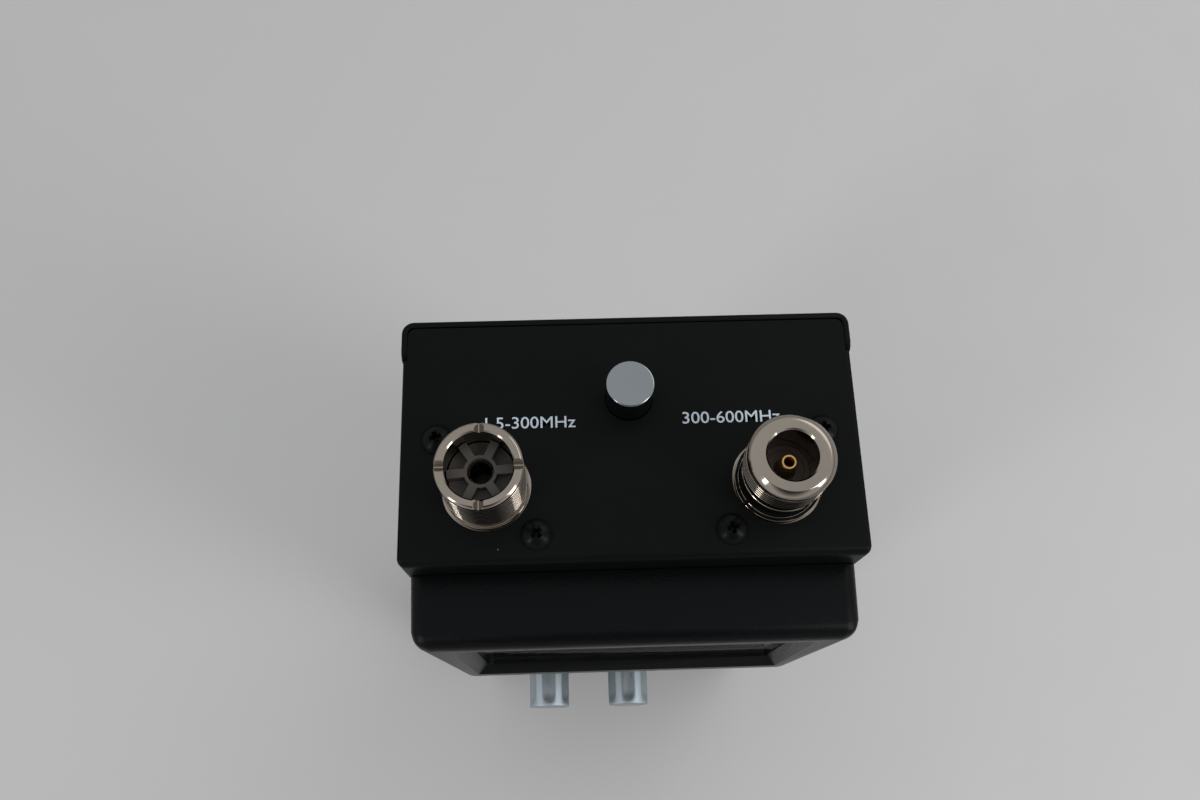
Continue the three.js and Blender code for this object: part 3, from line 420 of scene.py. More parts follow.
def lettering(words, capital, place, turn=(QUARTER, 0, 0), weight=INK_SPREAD, stretch=1.0):
    """Plain raised characters, centred on a place. The weight makes their strokes wider."""
    capital_share = 0.729
    deselect()
    bpy.ops.object.text_add()
    text = bpy.context.object.data
    text.body = words
    text.align_x = text.align_y = "CENTER"
    text.size = capital / capital_share
    text.extrude = bpy.context.scene.analyzer_marking.ink / 2
    text.offset = weight
    text.resolution_u = 4
    bpy.ops.object.convert(target="MESH")
    piece = named("characters")
    piece.scale = (stretch, 1, 1)
    bpy.ops.object.transform_apply(location=False, rotation=False, scale=True)
    with shaping(piece):
        bpy.ops.mesh.select_all(action="SELECT")
        bpy.ops.mesh.remove_doubles(threshold=TOUCH)
        bpy.ops.mesh.normals_make_consistent(inside=False)
    return settle(piece, place, turn)


def stroke(pivot, near, far, width, angle):
    """A printed stroke between two distances from a pivot, at an angle about it."""
    ink = bpy.context.scene.analyzer_marking.ink
    return settle(slab("stroke", (near, -ink, -width / 2), (far, 0, width / 2)), pivot, (0, -angle, 0))


def beside(pivot, angle, distance):
    """The point at a distance from a pivot, at an angle about it."""
    return pivot + Vector((math.cos(angle), 0, math.sin(angle))) * distance


def add_node(tree, kind, settings=(), inputs=()):
    """Adds a node with its settings, and links or sets its inputs."""
    node = tree.nodes.new(kind)
    for name, value in dict(settings).items():
        setattr(node, name, value)
    for name, value in dict(inputs).items():
        if isinstance(value, bpy.types.NodeSocket):
            tree.links.new(value, node.inputs[name])
        else:
            node.inputs[name].default_value = value
    return node


def tone(base, level):
    """A colour made lighter or darker by a level, with its alpha."""
    return (*(min(1, c * level) for c in base), 1)


def surface(name, base, metallic, roughness, grain, stretch=(1, 1, 1), depth=0.0, spread=0.12, gloss=0.5,
            detail=4):
    """A finish of one colour that varies a little over its grain, as its roughness and relief do.

    The base is a hex colour or the name of a colour setting. The grain is a size in metres. The stretch
    makes it shorter along an axis where it is above 1. The depth is that of the relief in metres, and the
    spread is how much the colour varies."""
    base = linear(base) if base.startswith("#") else getattr(bpy.context.scene.analyzer_finish, base)
    patch = 24 * MM
    material = bpy.data.materials.new(name)
    material.use_nodes = True
    tree = material.node_tree
    shader = tree.nodes["Principled BSDF"]
    shader.inputs["Metallic"].default_value = metallic
    shader.inputs["Specular IOR Level"].default_value = gloss
    place = add_node(tree, "ShaderNodeTexCoord").outputs["Object"]
    scaled = add_node(tree, "ShaderNodeMapping", inputs={"Vector": place, "Scale": stretch})
    fine = add_node(tree, "ShaderNodeTexNoise", inputs={
        "Vector": scaled.outputs["Vector"], "Scale": 1 / grain, "Detail": detail})
    broad = add_node(tree, "ShaderNodeTexNoise", inputs={"Vector": place, "Scale": 1 / patch, "Detail": 3})
    share = add_node(tree, "ShaderNodeMapRange", inputs={
        "Value": broad.outputs["Fac"], "From Min": 0.3, "From Max": 0.7})
    mixed = add_node(tree, "ShaderNodeMix", {"data_type": "RGBA"}, {
        "Factor": share.outputs["Result"], "A": tone(base, 1 - spread), "B": tone(base, 1 + spread)})
    tree.links.new(mixed.outputs[2], shader.inputs["Base Color"])
    low, high = roughness
    rough = add_node(tree, "ShaderNodeMapRange", inputs={
        "Value": fine.outputs["Fac"], "From Min": 0.3, "From Max": 0.7, "To Min": low, "To Max": high})
    tree.links.new(rough.outputs["Result"], shader.inputs["Roughness"])
    if depth:
        relief = add_node(tree, "ShaderNodeBump", inputs={
            "Height": fine.outputs["Fac"], "Distance": depth, "Strength": 1})
        tree.links.new(relief.outputs["Normal"], shader.inputs["Normal"])
    return material


def made_once(build):
    """Makes a finish when it is first asked for, and names it as the function that builds it."""
    def asked():
        name = build.__name__
        if name not in bpy.data.materials:
            build(name)
        return bpy.data.materials[name]
    return asked


@made_once
def satin_black_paint(name):
    """Satin stoving paint on sheet steel: a faint orange peel, and a few specks of dust."""
    tree = surface(name, "paint", 0, (0.36, 0.46), 0.5 * MM, depth=0.006 * MM, spread=0.1,
                   gloss=0.06).node_tree
    speck_pitch, patch = 5 * MM, 9 * MM
    shader = tree.nodes["Principled BSDF"]
    place = add_node(tree, "ShaderNodeTexCoord").outputs["Object"]
    specks = add_node(tree, "ShaderNodeTexVoronoi", inputs={"Vector": place, "Scale": 1 / speck_pitch})
    sizes = add_node(tree, "ShaderNodeTexNoise", inputs={"Vector": place, "Scale": 1 / patch})
    reach = add_node(tree, "ShaderNodeMapRange", inputs={
        "Value": sizes.outputs["Fac"], "From Min": 0.5, "From Max": 0.75, "To Min": 0, "To Max": 0.055})
    near = add_node(tree, "ShaderNodeMath", {"operation": "LESS_THAN"}, {
        0: specks.outputs["Distance"], 1: reach.outputs["Result"]})
    paint = shader.inputs["Base Color"].links[0].from_socket
    dusty = add_node(tree, "ShaderNodeMix", {"data_type": "RGBA"}, {
        "Factor": near.outputs["Value"], "A": paint, "B": (*linear("#5c5e60"), 1)})
    tree.links.new(dusty.outputs[2], shader.inputs["Base Color"])


@made_once
def moulded_abs(name):
    """Black ABS from a spark-eroded mould: a fine grain that glints where it turns to the light."""
    surface(name, "housing", 0, (0.24, 0.4), 0.35 * MM, depth=0.05 * MM, spread=0.08, gloss=0.08,
            detail=2)


@made_once
def nickel_plate(name):
    """Bright nickel on turned brass: warm grey, with faint rings left by the lathe."""
    surface(name, "nickel", 1, (0.07, 0.14), 1.6 * MM, stretch=(1, 1, 14), depth=0.0006 * MM,
            spread=0.08)


@made_once
def tarnished_nickel(name):
    """Nickel of the left socket's contact, darkened as painted shade for the inside of its deep bore."""
    surface(name, "#2e2c26", 1, (0.35, 0.5), 0.6 * MM, spread=0.25)


@made_once
def chrome_plate(name):
    """Bright chrome, with a haze of fine wear."""
    surface(name, "chrome", 1, (0.1, 0.2), 0.8 * MM, depth=0.001 * MM, spread=0.04)


@made_once
def polished_aluminium(name):
    """Turned and polished aluminium, with streaks along the flutes."""
    surface(name, "knob", 1, (0.46, 0.58), 2 * MM, stretch=(9, 1, 9), depth=0.002 * MM, spread=0.06)


@made_once
def black_oxide_steel(name):
    """Blackened steel of the screws: a dark coat with an oily sheen."""
    surface(name, "#0c0d0d", 0, (0.22, 0.34), 0.4 * MM, depth=0.006 * MM, spread=0.2, gloss=0.06)


@made_once
def zinc_plated_steel(name):
    """Zinc-plated steel: dull grey with a soft bloom."""
    surface(name, "#a9abab", 1, (0.3, 0.46), 1.5 * MM, spread=0.14)


@made_once
def grey_phenolic(name):
    """Grey moulded insulator of the left socket, a little uneven with use."""
    surface(name, "#4a4642", 0, (0.4, 0.55), 0.5 * MM, depth=0.008 * MM, spread=0.25, gloss=0.2)


@made_once
def dark_insulator(name):
    """Dark brown insulator deep in the right socket: its dark brown is painted shade for the depth and a
    painted warm reflection of the nickel round it.
    """
    surface(name, "#4c3f33", 0, (0.3, 0.45), 0.6 * MM, depth=0.006 * MM, spread=0.2, gloss=0.3)


@made_once
def gold_plate(name):
    """Gold on a spring contact: warm and bright."""
    surface(name, "#c4a060", 1, (0.16, 0.26), 0.8 * MM, spread=0.08)


@made_once
def dark_nylon(name):
    """Dark moulded nylon of the display, the switch and the holder: matt, with a fine grain."""
    surface(name, "#232527", 0, (0.42, 0.56), 0.6 * MM, depth=0.012 * MM)


@made_once
def coated_card(name):
    """Coated card of the dial, with a faint fibre."""
    surface(name, "card", 0, (0.55, 0.68), 0.35 * MM, depth=0.004 * MM, spread=0.03)


@made_once
def smoked_acrylic(name):
    """Smoked acrylic pane: clear enough to read the dial, with a weak reflection and a haze."""
    pane = surface(name, "#0c0e0f", 0, (0.03, 0.09), 6 * MM, spread=0.1)
    pane.node_tree.nodes["Principled BSDF"].inputs["Alpha"].default_value = 0.14


@made_once
def display_face(name):
    """Grey-green film of the display behind glass: even, with a soft gloss."""
    surface(name, "display", 0, (0.25, 0.35), 0.8 * MM, spread=0.04)


@made_once
def solder_mask(name):
    """Green solder mask over copper tracks, which show through it paler."""
    tree = surface(name, "#1f5c38", 0, (0.28, 0.4), 1.2 * MM).node_tree
    track_pitch = 6 * MM
    place = add_node(tree, "ShaderNodeTexCoord").outputs["Object"]
    upright = add_node(tree, "ShaderNodeMapping", inputs={"Vector": place, "Rotation": (QUARTER, 0, 0)})
    tracks = add_node(tree, "ShaderNodeTexBrick", {"offset": 0.37}, {
        "Vector": upright.outputs["Vector"], "Scale": 1 / track_pitch, "Mortar Size": 0.05,
        "Color1": (*linear("#1f5c38"), 1), "Color2": (*linear("#1a5031"), 1),
        "Mortar": (*linear("#3c7d4d"), 1)})
    tree.links.new(tracks.outputs["Color"], tree.nodes["Principled BSDF"].inputs["Base Color"])


@made_once
def shrink_sleeve(name):
    """Printed shrink sleeve of a cell: plain blue-grey with a soft gloss."""
    surface(name, "#3c4f6b", 0, (0.22, 0.34), 3 * MM, spread=0.1)


@made_once
def floor_laminate(name):
    """Pale laminate of the floor: smooth and even."""
    surface(name, "floor", 0, (0.5, 0.62), 30 * MM, spread=0.004)


def print_on(name, base):
    """Matt screen-printed ink, a little uneven."""
    surface(name, base, 0, (0.45, 0.6), 0.3 * MM, depth=0.004 * MM, spread=0.05)


@made_once
def white_ink(name):
    """White print on the case: matt, and a little grey with age."""
    print_on(name, "white_ink")


@made_once
def dial_white_ink(name):
    """White print of the dial: matt."""
    print_on(name, "print")


@made_once
def dial_red_ink(name):
    """Red print of the dial: matt."""
    print_on(name, "#a8322a")


@made_once
def needle_lacquer(name):
    """Pale lacquer of the needles, as matt as the dial's print."""
    print_on(name, "print")


@made_once
def display_ink(name):
    """Lit segments of the display: dark and even."""
    print_on(name, "#1b221a")


def coat(piece, material):
    """Gives a piece or a CAD node one finish alone."""
    piece.data.materials.clear()
    piece.data.materials.append(material)


def dress(piece, material, body, slot, *nodes, angle=35):
    """Shades a finished piece, and says what it rides on and which nodes it stands for."""
    activate(piece)
    bpy.ops.object.shade_smooth_by_angle(angle=math.radians(angle))
    coat(piece, material)
    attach(piece, body)
    if nodes:
        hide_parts(*nodes)


class ANALYZER_OT_case(bpy.types.Operator):
    """Build the folded steel case with its rounded folds and its holes"""

    bl_idname = "analyzer.case"
    bl_label = "Case"

    def holes(self, size, front, top, side):
        """Tools for the holes in the front, the top and the sides, given as spans across the sheet."""
        low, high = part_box("power_button")
        tools = [hole(node, Z, rings[0] + size.hole_gap, *top) for node, rings in FOOT_RINGS.items()]
        tools.append(hole("power_button", Z, (high.x - low.x) / 2 + size.hole_gap / 2, *top))
        tools += [hole(node, Y, BUSH_HOLE, *front) for node in ("band_nut", "tuning_nut")]
        for i in range(1, 5):
            cover_screw = f"cover_screw_{i}"
            sign = math.copysign(1, around(cover_screw)[2].x)
            tools += [hole(f"socket_screw_{i}", Z, SCREW_HOLE, *top, 32),
                      hole(f"housing_screw_{i}", Y, SCREW_HOLE, *front, 32),
                      hole(cover_screw, X, TIGHT_SCREW_HOLE, sign * side[0], sign * side[1], 32)]
        window_margin = -3 * MM
        return [*tools, hole("dc_jack", X, JACK_HOLE, *side), opening("lcd_window", window_margin, *front),
                opening("meter_movement", OVERRUN, *front)]

    def execute(self, context):
        size = context.scene.analyzer_case
        sheet = size.sheet
        low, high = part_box("chassis_body")
        case = soften(slab("case", low, high), [
            (size.fold_radius, lambda e: lies_on(e, Y, low.y)),
            (size.side_radius, lambda e: runs_along(e, Y)),
        ], 6)
        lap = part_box("rear_cover")[0].y - size.hole_gap
        lapped = high.x - size.lap_step
        carve(case, *(slab("step", (left, lap, low.z - OVERRUN), (right, 2 * high.y, high.z + OVERRUN))
                      for left, right in ((-2 * lapped, -lapped), (lapped, 2 * lapped))))
        with shaping(case):
            choose("EDGE", lambda e: abs(abs(e.verts[0].co.x) - lapped) < TOUCH
                   and lies_on(e, Y, high.y) and runs_along(e, Z))
            bpy.ops.mesh.bevel(offset=size.rear_radius, segments=6, affect="EDGES", clamp_overlap=False)
        carve(case, slab("hollow", (low.x + sheet, low.y + sheet, low.z + sheet),
                         (high.x - sheet, lap - sheet, high.z - sheet)),
              slab("hollow", (sheet - lapped, low.y + 2 * sheet, low.z + sheet),
                   (lapped - sheet, high.y + OVERRUN, high.z - sheet)))
        carve(case, *self.holes(size, (low.y - OVERRUN, low.y + sheet + OVERRUN),
                                (high.z - sheet - OVERRUN, high.z + OVERRUN),
                                (lapped - sheet - OVERRUN, high.x + OVERRUN)))
        dress(case, satin_black_paint(), BODY, "black_paint", "chassis_body")
        return {"FINISHED"}


class ANALYZER_OT_rear_cover(bpy.types.Operator):
    """Build the rear cover: a sheet with two folds and rounded lips"""

    bl_idname = "analyzer.rear_cover"
    bl_label = "Rear cover"

    def execute(self, context):
        size = context.scene.analyzer_case
        sheet = size.cover_sheet
        low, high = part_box("rear_cover")
        cover = soften(slab("rear_cover_sheet", low, high), [
            (size.cover_radius, lambda e: lies_on(e, Y, high.y) and runs_along(e, Z)),
            (size.lip_radius, lambda e: lies_on(e, Y, low.y) and runs_along(e, X)),
        ], 8)
        inside = soften(slab("inside", (low.x + sheet, low.y - OVERRUN, low.z - OVERRUN),
                             (high.x - sheet, high.y - sheet, high.z + OVERRUN)), [
            (size.cover_radius - sheet, lambda e: lies_on(e, Y, high.y - sheet) and runs_along(e, Z)),
        ], 6)
        carve(cover, inside)
        for i in range(1, 5):
            screw = f"cover_screw_{i}"
            sign = math.copysign(1, around(screw)[2].x)
            carve(cover, hole(screw, X, SCREW_HOLE, sign * (high.x - sheet - OVERRUN),
                              sign * (high.x + OVERRUN), 32))
        break_edges(cover, size.edge_break)
        dress(cover, satin_black_paint(), BODY, "black_paint", "rear_cover")
        return {"FINISHED"}


class ANALYZER_OT_screws(bpy.types.Operator):
    """Build the domed cross-head screws of the sockets and the rear cover"""

    bl_idname = "analyzer.screws"
    bl_label = "Screws"

    def screw(self, head_radius, head_height, shank, cross):
        """A domed head on a shank along Z, with its seat at the origin and a tapered cross recess."""
        radius, flat, steps = 1.45 * MM, 0.12 * MM, 9
        curve = (head_radius ** 2 + head_height ** 2) / (2 * head_height)
        spread = math.asin(head_radius / curve)
        dome = [(curve * math.sin(spread * i / steps),
                 head_height - curve * (1 - math.cos(spread * i / steps))) for i in range(steps - 1, 0, -1)]
        screw = turned("screw", [(radius, -shank), (radius, 0), (head_radius, 0), *dome,
                                 (flat, head_height)], facets=48)
        arm, depth, taper = 0.62 * head_radius, 1.7 * MM, (0.15, 0.4, 1)
        for turn in (0, QUARTER):
            bar = slab("bar", (-arm, -cross / 2, head_height - depth),
                       (arm, cross / 2, head_height + OVERRUN))
            carve(screw, settle(narrow(bar, Z, -1, taper), turn=(0, 0, turn)))
        return screw

    def execute(self, context):
        cross = context.scene.analyzer_socket.cross
        for kind, head_radius, head_height, shank, turns in (
                ("socket", 3.1 * MM, 2 * MM, 5.2 * MM, (0.3, 0.75, 0.1, 0.2)),
                ("cover", 2.8 * MM, 1.7 * MM, 4.6 * MM, (0.2, 0.9, 0.5, 0.7))):
            pattern = self.screw(head_radius, head_height, shank, cross)
            for i, spin in enumerate(turns, 1):
                node = f"{kind}_screw_{i}"
                low, high, middle = around(node)
                side = math.copysign(1, middle.x)
                screw = copied(pattern, f"{kind}_screw_head_{i}", turn=(0, 0, spin))
                if kind == "socket":
                    settle(screw, (middle.x, middle.y, high.z - head_height))
                else:
                    seat = (high.x if side > 0 else low.x) - side * head_height
                    settle(screw, (seat, middle.y, middle.z), (0, side * QUARTER, 0))
                dress(screw, black_oxide_steel(), BODY, "black_screw", node, angle=40)
            bpy.data.objects.remove(pattern)
        return {"FINISHED"}


class ANALYZER_OT_meter_housing(bpy.types.Operator):
    """Build the moulded meter housing with its rounded edges and its recessed window"""

    bl_idname = "analyzer.meter_housing"
    bl_label = "Meter housing"

    def blank(self, name, low, high, size, inset=0):
        """A block that narrows to its face and its foot, with its own radius on each kind of edge."""
        block = slab(name, low, high)
        for axis, lean in ((Y, size.draft), (Z, size.taper)):
            narrow(block, axis, -1, (1 - lean / high.x, 1, 1), (0, 0, 0))
        return soften(block, [
            (size.corner_radius - inset, lambda e: not runs_along(e, X) and lies_on(e, Z, high.z)),
            (size.foot_radius - inset, lambda e: not runs_along(e, X) and lies_on(e, Z, low.z)),
            (size.side_radius - inset, lambda e: not runs_along(e, X) and lies_on(e, Y, low.y)),
            (size.edge_radius - inset, lambda e: runs_along(e, X) and lies_on(e, Y, low.y)),
        ], 8)

    def execute(self, context):
        size = context.scene.analyzer_meter
        wall = size.wall
        low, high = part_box("meter_housing")
        housing = self.blank("meter_housing_shell", low, high, size)
        carve(housing, self.blank("hollow", low + Vector((wall, wall, wall)),
                                  Vector((high.x - wall, high.y + OVERRUN, high.z - wall)), size, wall))
        pane_low, pane_high, middle = around("meter_window")
        fit, frame_wall, ledge_depth = 0.2 * MM, 1.6 * MM, 1.2 * MM
        ledge_back = pane_high.y + fit + ledge_depth
        carve(housing, opening("meter_window", fit + frame_wall, low.y + wall / 2, ledge_back),
              operation="UNION")
        half = Vector((pane_high.x + fit, 0, (pane_high.z - pane_low.z) / 2 + fit))
        mouth = slab("mouth", (middle.x - half.x, low.y, middle.z - half.z),
                     (middle.x + half.x, pane_low.y, middle.z + half.z))
        with shaping(mouth):
            choose("FACE", lambda face: face.normal.y < -0.5)
            bpy.ops.transform.resize(value=(1 + size.bevel / half.x, 1, 1 + size.bevel / half.z),
                                     center_override=middle)
            bpy.ops.mesh.extrude_region_move(TRANSFORM_OT_translate={"value": (0, -OVERRUN, 0)})
        carve(housing, mouth, opening("meter_window", fit, pane_low.y - TOUCH, pane_high.y + fit),
              opening("meter_window", fit - size.ledge, low.y, ledge_back + OVERRUN))
        break_edges(housing, 0.2 * MM, steps=3, angle=40)
        dress(housing, moulded_abs(), BODY, "black_plastic", "meter_housing", angle=40)
        return {"FINISHED"}


class ANALYZER_OT_panes(bpy.types.Operator):
    """Build the clear panes of the meter and the display"""

    bl_idname = "analyzer.panes"
    bl_label = "Panes"

    def execute(self, context):
        radius = context.scene.analyzer_meter.window_radius
        for name, node in (("meter_pane", "meter_window"), ("display_pane", "lcd_window")):
            pane = rounded(name, *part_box(node), Y, radius)
            break_edges(pane, 0.15 * MM, angle=60)
            dress(pane, smoked_acrylic(), BODY, "clear_pane", node)
        return {"FINISHED"}


class ANALYZER_OT_dial(bpy.types.Operator):
    """Build the dial card with its printed scales, and the two needles"""

    bl_idname = "analyzer.dial"
    bl_label = "Dial and needles"

    def scale(self, pivot, side, size):
        """The curved scale of one needle. Its angles count from the side that the needle rests on."""
        first, last = math.radians(22), math.radians(80)
        chords, overlap_share = 40, 1.06
        values, parts = (0, 1, 2, 4, 6, 8, 10), 5
        number_height, number_gap = size.number_height * 0.8, 4.2 * MM
        radius = size.scale_radius
        turn = -1 if side > 0 else 1
        start = math.pi - first if side > 0 else first
        step = (last - first) / chords
        marks = [stroke(pivot, radius - size.line / 2, radius + size.line / 2,
                        radius * step * overlap_share, start + turn * (i + 0.5) * step)
                 for i in range(chords)]
        ticks = (len(values) - 1) * parts
        for i in range(ticks + 1):
            angle = start + turn * (last - first) * i / ticks
            place, lesser = divmod(i, parts)
            reach, width = (1.2 * MM, size.line * 0.6) if lesser else (2.2 * MM, size.line * 0.9)
            marks.append(stroke(pivot, radius, radius + reach, width, angle))
            if not lesser:
                marks.append(lettering(str(values[place]), number_height,
                                       beside(pivot, angle, radius + number_gap)))
        return marks

    def rays(self, foot, size):
        """The straight lines between the scales, each with its number at its end."""
        near, width = 12 * MM, size.line * 0.8
        number_height, number_gap = size.number_height * 0.75, 2.2 * MM
        marks = []
        for value, degrees, reach in (
                ("1", 90, 31 * MM), ("1.5", 76, 27 * MM), ("1.5", 104, 27 * MM), ("2", 64, 24 * MM),
                ("2", 116, 24 * MM), ("3", 52, 21 * MM), ("3", 128, 21 * MM)):
            angle = math.radians(degrees)
            marks.append(stroke(foot, near, reach, width, angle))
            marks.append(lettering(value, number_height, beside(foot, angle, reach + number_gap)))
        return marks

    def needle(self, name, side):
        """A tapered needle on its hub and spindle, at rest."""
        low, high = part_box(name)
        pivot = Vector((side * PIVOT_X, low.y, PIVOT_Z))
        thickness, half_width, tail, reach, tip_share = 0.4 * MM, 0.5 * MM, 3 * MM, 42 * MM, 0.4
        hub_radius, hub_rim, spindle_radius = 2 * MM, 0.25 * MM, 0.7 * MM
        angle = math.pi - REST_ANGLE if side > 0 else REST_ANGLE
        pointer = slab("pointer", (-tail, 0, -half_width), (reach, thickness, half_width))
        settle(narrow(pointer, X, 1, (1, 1, tip_share)), pivot, (0, -angle, 0))
        hub = turned("hub", [(hub_radius, 0), (hub_radius, hub_rim), (1.6 * MM, thickness),
                             (0.2 * MM, thickness)], facets=40)
        settle(hub, pivot + Vector((0, thickness, 0)), (QUARTER, 0, 0))
        spindle = rod(spindle_radius, pivot + Vector((0, thickness / 2, 0)), (pivot.x, high.y, pivot.z), 24)
        needle = gather(f"{name}_pointer", pointer, hub, spindle)
        dress(needle, needle_lacquer(), name, "needle_black", name)

    def execute(self, context):
        size = context.scene.analyzer_meter
        low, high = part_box("dial_plate")
        card = rounded("dial", low, high, Y, size.window_radius)
        scales, spindle_hole, foot = [], 2 * MM, Vector((0, low.y, 121 * MM))
        for side in (1, -1):
            pivot = Vector((side * PIVOT_X, low.y, PIVOT_Z))
            carve(card, rod(spindle_hole, pivot - Vector((0, OVERRUN, 0)),
                            (pivot.x, high.y + OVERRUN, pivot.z)))
            scales += self.scale(pivot, side, size)
        rays = self.rays(foot, size)
        dress(card, coated_card(), BODY, "dial_card", "dial_plate")
        dress(gather("dial_white_print", *scales), dial_white_ink(), BODY, "dial_card")
        dress(gather("dial_red_print", *rays), dial_red_ink(), BODY, "dial_card")
        self.needle("forward_needle", 1)
        self.needle("reflected_needle", -1)
        return {"FINISHED"}


class ANALYZER_OT_display(bpy.types.Operator):
    """Build the frequency display with its digits"""

    bl_idname = "analyzer.display"
    bl_label = "Display"

    def execute(self, context):
        low, high, middle = around("lcd_module")
        border, depth, film, ink = 4 * MM, 1.2 * MM, 0.3 * MM, 0.05 * MM
        radius = context.scene.analyzer_meter.window_radius
        module = rounded("display_module", low, high, Y, radius)
        carve(module, slab("view", (low.x + border, low.y - OVERRUN, low.z + border),
                           (high.x - border, low.y + depth, high.z - border)))
        break_edges(module, 0.15 * MM)
        dress(module, dark_nylon(), BODY, "display_glass", "lcd_module")
        front = low.y + depth - film
        face = rounded("display_face", (low.x + border, front, low.z + border),
                       (high.x - border, low.y + depth, high.z - border), Y, 0.2 * MM, 2)
        dress(face, display_face(), BODY, "display_glass")

        def bar(x, z, half_x, half_z):
            return slab("bar", (x - half_x, front - ink, z - half_z), (x + half_x, front, z + half_z))

        lit = {"1": "bc", "4": "fgbc", "5": "afgcd", "0": "abcdef", "2": "abged"}
        places = {"a": (0, 1), "g": (0, 0), "d": (0, -1), "f": (-1, 0.5), "b": (1, 0.5), "e": (-1, -0.5),
                  "c": (1, -0.5)}
        tall, wide, thick, pitch, gap = 9 * MM, 4.6 * MM, 0.8 * MM, 6.6 * MM, 1.2 * MM
        level = (wide / 2 - 0.35 * MM, thick / 2)
        upright = (thick / 2, tall / 4 - 0.3 * MM)
        whole, part = "145", "200"
        segments = []
        for i, figure in enumerate(whole + part):
            x = middle.x + (i - 2.5) * pitch + (gap if i >= len(whole) else -gap)
            for across, up in (places[key] for key in lit[figure]):
                segments.append(bar(x + across * wide / 2, middle.z + up * tall / 2,
                                    *(upright if across else level)))
        segments.append(bar(middle.x, middle.z - tall / 2 + 0.1 * MM, 0.5 * MM, 0.5 * MM))
        dress(gather("display_digits", *segments), display_ink(), BODY, "display_glass")
        return {"FINISHED"}


class ANALYZER_OT_controls(bpy.types.Operator):
    """Build the fluted knobs and the nuts behind them"""

    bl_idname = "analyzer.controls"
    bl_label = "Knobs and nuts"

    def groove(self, radius, tall, size):
        """A tool for one flute: a rod with a stretched round end, beside the knob's axis."""
        share = 1 - size.flute_depth / size.flute_radius
        end = size.flute_end / math.sqrt(1 - share ** 2)
        top = tall - size.flute_rim - size.flute_end
        deselect()
        bpy.ops.mesh.primitive_uv_sphere_add(segments=48, ring_count=24, radius=size.flute_radius)
        groove = named("groove")
        with shaping(groove):
            choose("VERT", lambda v: v.co.z > TOUCH)
            bpy.ops.transform.resize(value=(1, 1, end / size.flute_radius), center_override=(0, 0, 0))
            choose("VERT", lambda v: v.co.z < -TOUCH)
            bpy.ops.transform.translate(value=(0, 0, -(top + OVERRUN)))
        return settle(groove, (radius + size.flute_radius - size.flute_depth, 0, top))

    def knob(self, name, radius, tall, size):
        """A turned knob with its flutes, its bore and the line on its tip."""
        bore, bore_depth, shaft, shaft_depth = 3.8 * MM, 4.6 * MM, 3.15 * MM, 11 * MM
        foot, dish_edge, dish_foot, dish = 0.25 * MM, 1.1 * MM, 1.25 * MM, 0.12 * MM
        line, line_depth, line_start, line_end = 0.6 * MM, 0.45 * MM, radius * 0.25, radius * 0.78
        knob = turned(name, [
            (bore, 0), (radius - foot, 0), (radius, foot), (radius, tall - size.tip_radius),
            *tip(radius, tall, size.tip_radius, 5)[1:], (radius - dish_edge, tall),
            (radius - dish_foot, tall - dish), (0.3 * MM, tall - dish)], facets=120)
        groove = self.groove(radius, tall, size)
        carve(knob, *(copied(groove, "groove", turn=(0, 0, (i + 0.5) * FULL / size.flutes))
                      for i in range(size.flutes)))
        bpy.data.objects.remove(groove)
        carve(knob, rod(bore, (0, 0, -OVERRUN), (0, 0, bore_depth)),
              rod(shaft, (0, 0, 0), (0, 0, shaft_depth)),
              rounded("mark", (-line / 2, line_start, tall - line_depth),
                      (line / 2, line_end, tall + OVERRUN), Z, 0.28 * MM, 4))
        return break_edges(knob, 0.1 * MM, angle=40)

    def nut(self, name, across, thick):
        """A hexagon nut with a bevelled outer end, from its half width across the flats."""
        corner_share, near, far, slope = 0.99, across * 1.02, across * 1.35, 0.6 * MM
        corner = across / math.cos(math.pi / 6) * corner_share
        nut = turned(name, [(corner, 0), (corner, thick)], facets=6)
        cone = turned("cone", [(near, thick), (far, thick - slope), (far, thick + OVERRUN),
                               (near, thick + OVERRUN)], facets=72, ring=True)
        return carve(nut, cone, rod(BUSH_HOLE, (0, 0, -OVERRUN), (0, 0, thick + OVERRUN)))

    def execute(self, context):
        size = context.scene.analyzer_control
        for name in ("band", "tuning"):
            node = f"{name}_knob"
            low, high, middle = around(node)
            knob = self.knob(f"{node}_turned", (high.x - low.x) / 2, high.y - low.y, size)
            settle(knob, (middle.x, high.y, middle.z), (QUARTER, 0, 0))
            dress(knob, polished_aluminium(), node, "knob_aluminium", node, angle=38)
            node = f"{name}_nut"
            low, high, middle = around(node)
            nut = self.nut(f"{node}_hexagon", (high.z - low.z) / 2, high.y - low.y)
            settle(nut, (middle.x, high.y, middle.z), (QUARTER, 0, 0))
            dress(nut, zinc_plated_steel(), BODY, "steel", node)
        return {"FINISHED"}


class ANALYZER_OT_power_button(bpy.types.Operator):
    """Build the round chrome button"""

    bl_idname = "analyzer.power_button"
    bl_label = "Power button"

    def execute(self, context):
        edge = context.scene.analyzer_control.button_radius
        low, high, middle = around("power_button")
        radius = (high.x - low.x) / 2
        tall = high.z - low.z
        ceiling, wall, foot = 4.5 * MM, 1.2 * MM, 0.15 * MM
        button = turned("power_button_cap", [
            (1.8 * MM, ceiling), (radius - wall, ceiling), (radius - wall, 0), (radius - foot, 0),
            (radius, foot), *tip(radius, tall, edge, 8), (radius * 0.5, tall), (0.2 * MM, tall)],
            (middle.x, middle.y, low.z))
        dress(button, chrome_plate(), "power_button", "chrome", "power_button", angle=40)
        return {"FINISHED"}


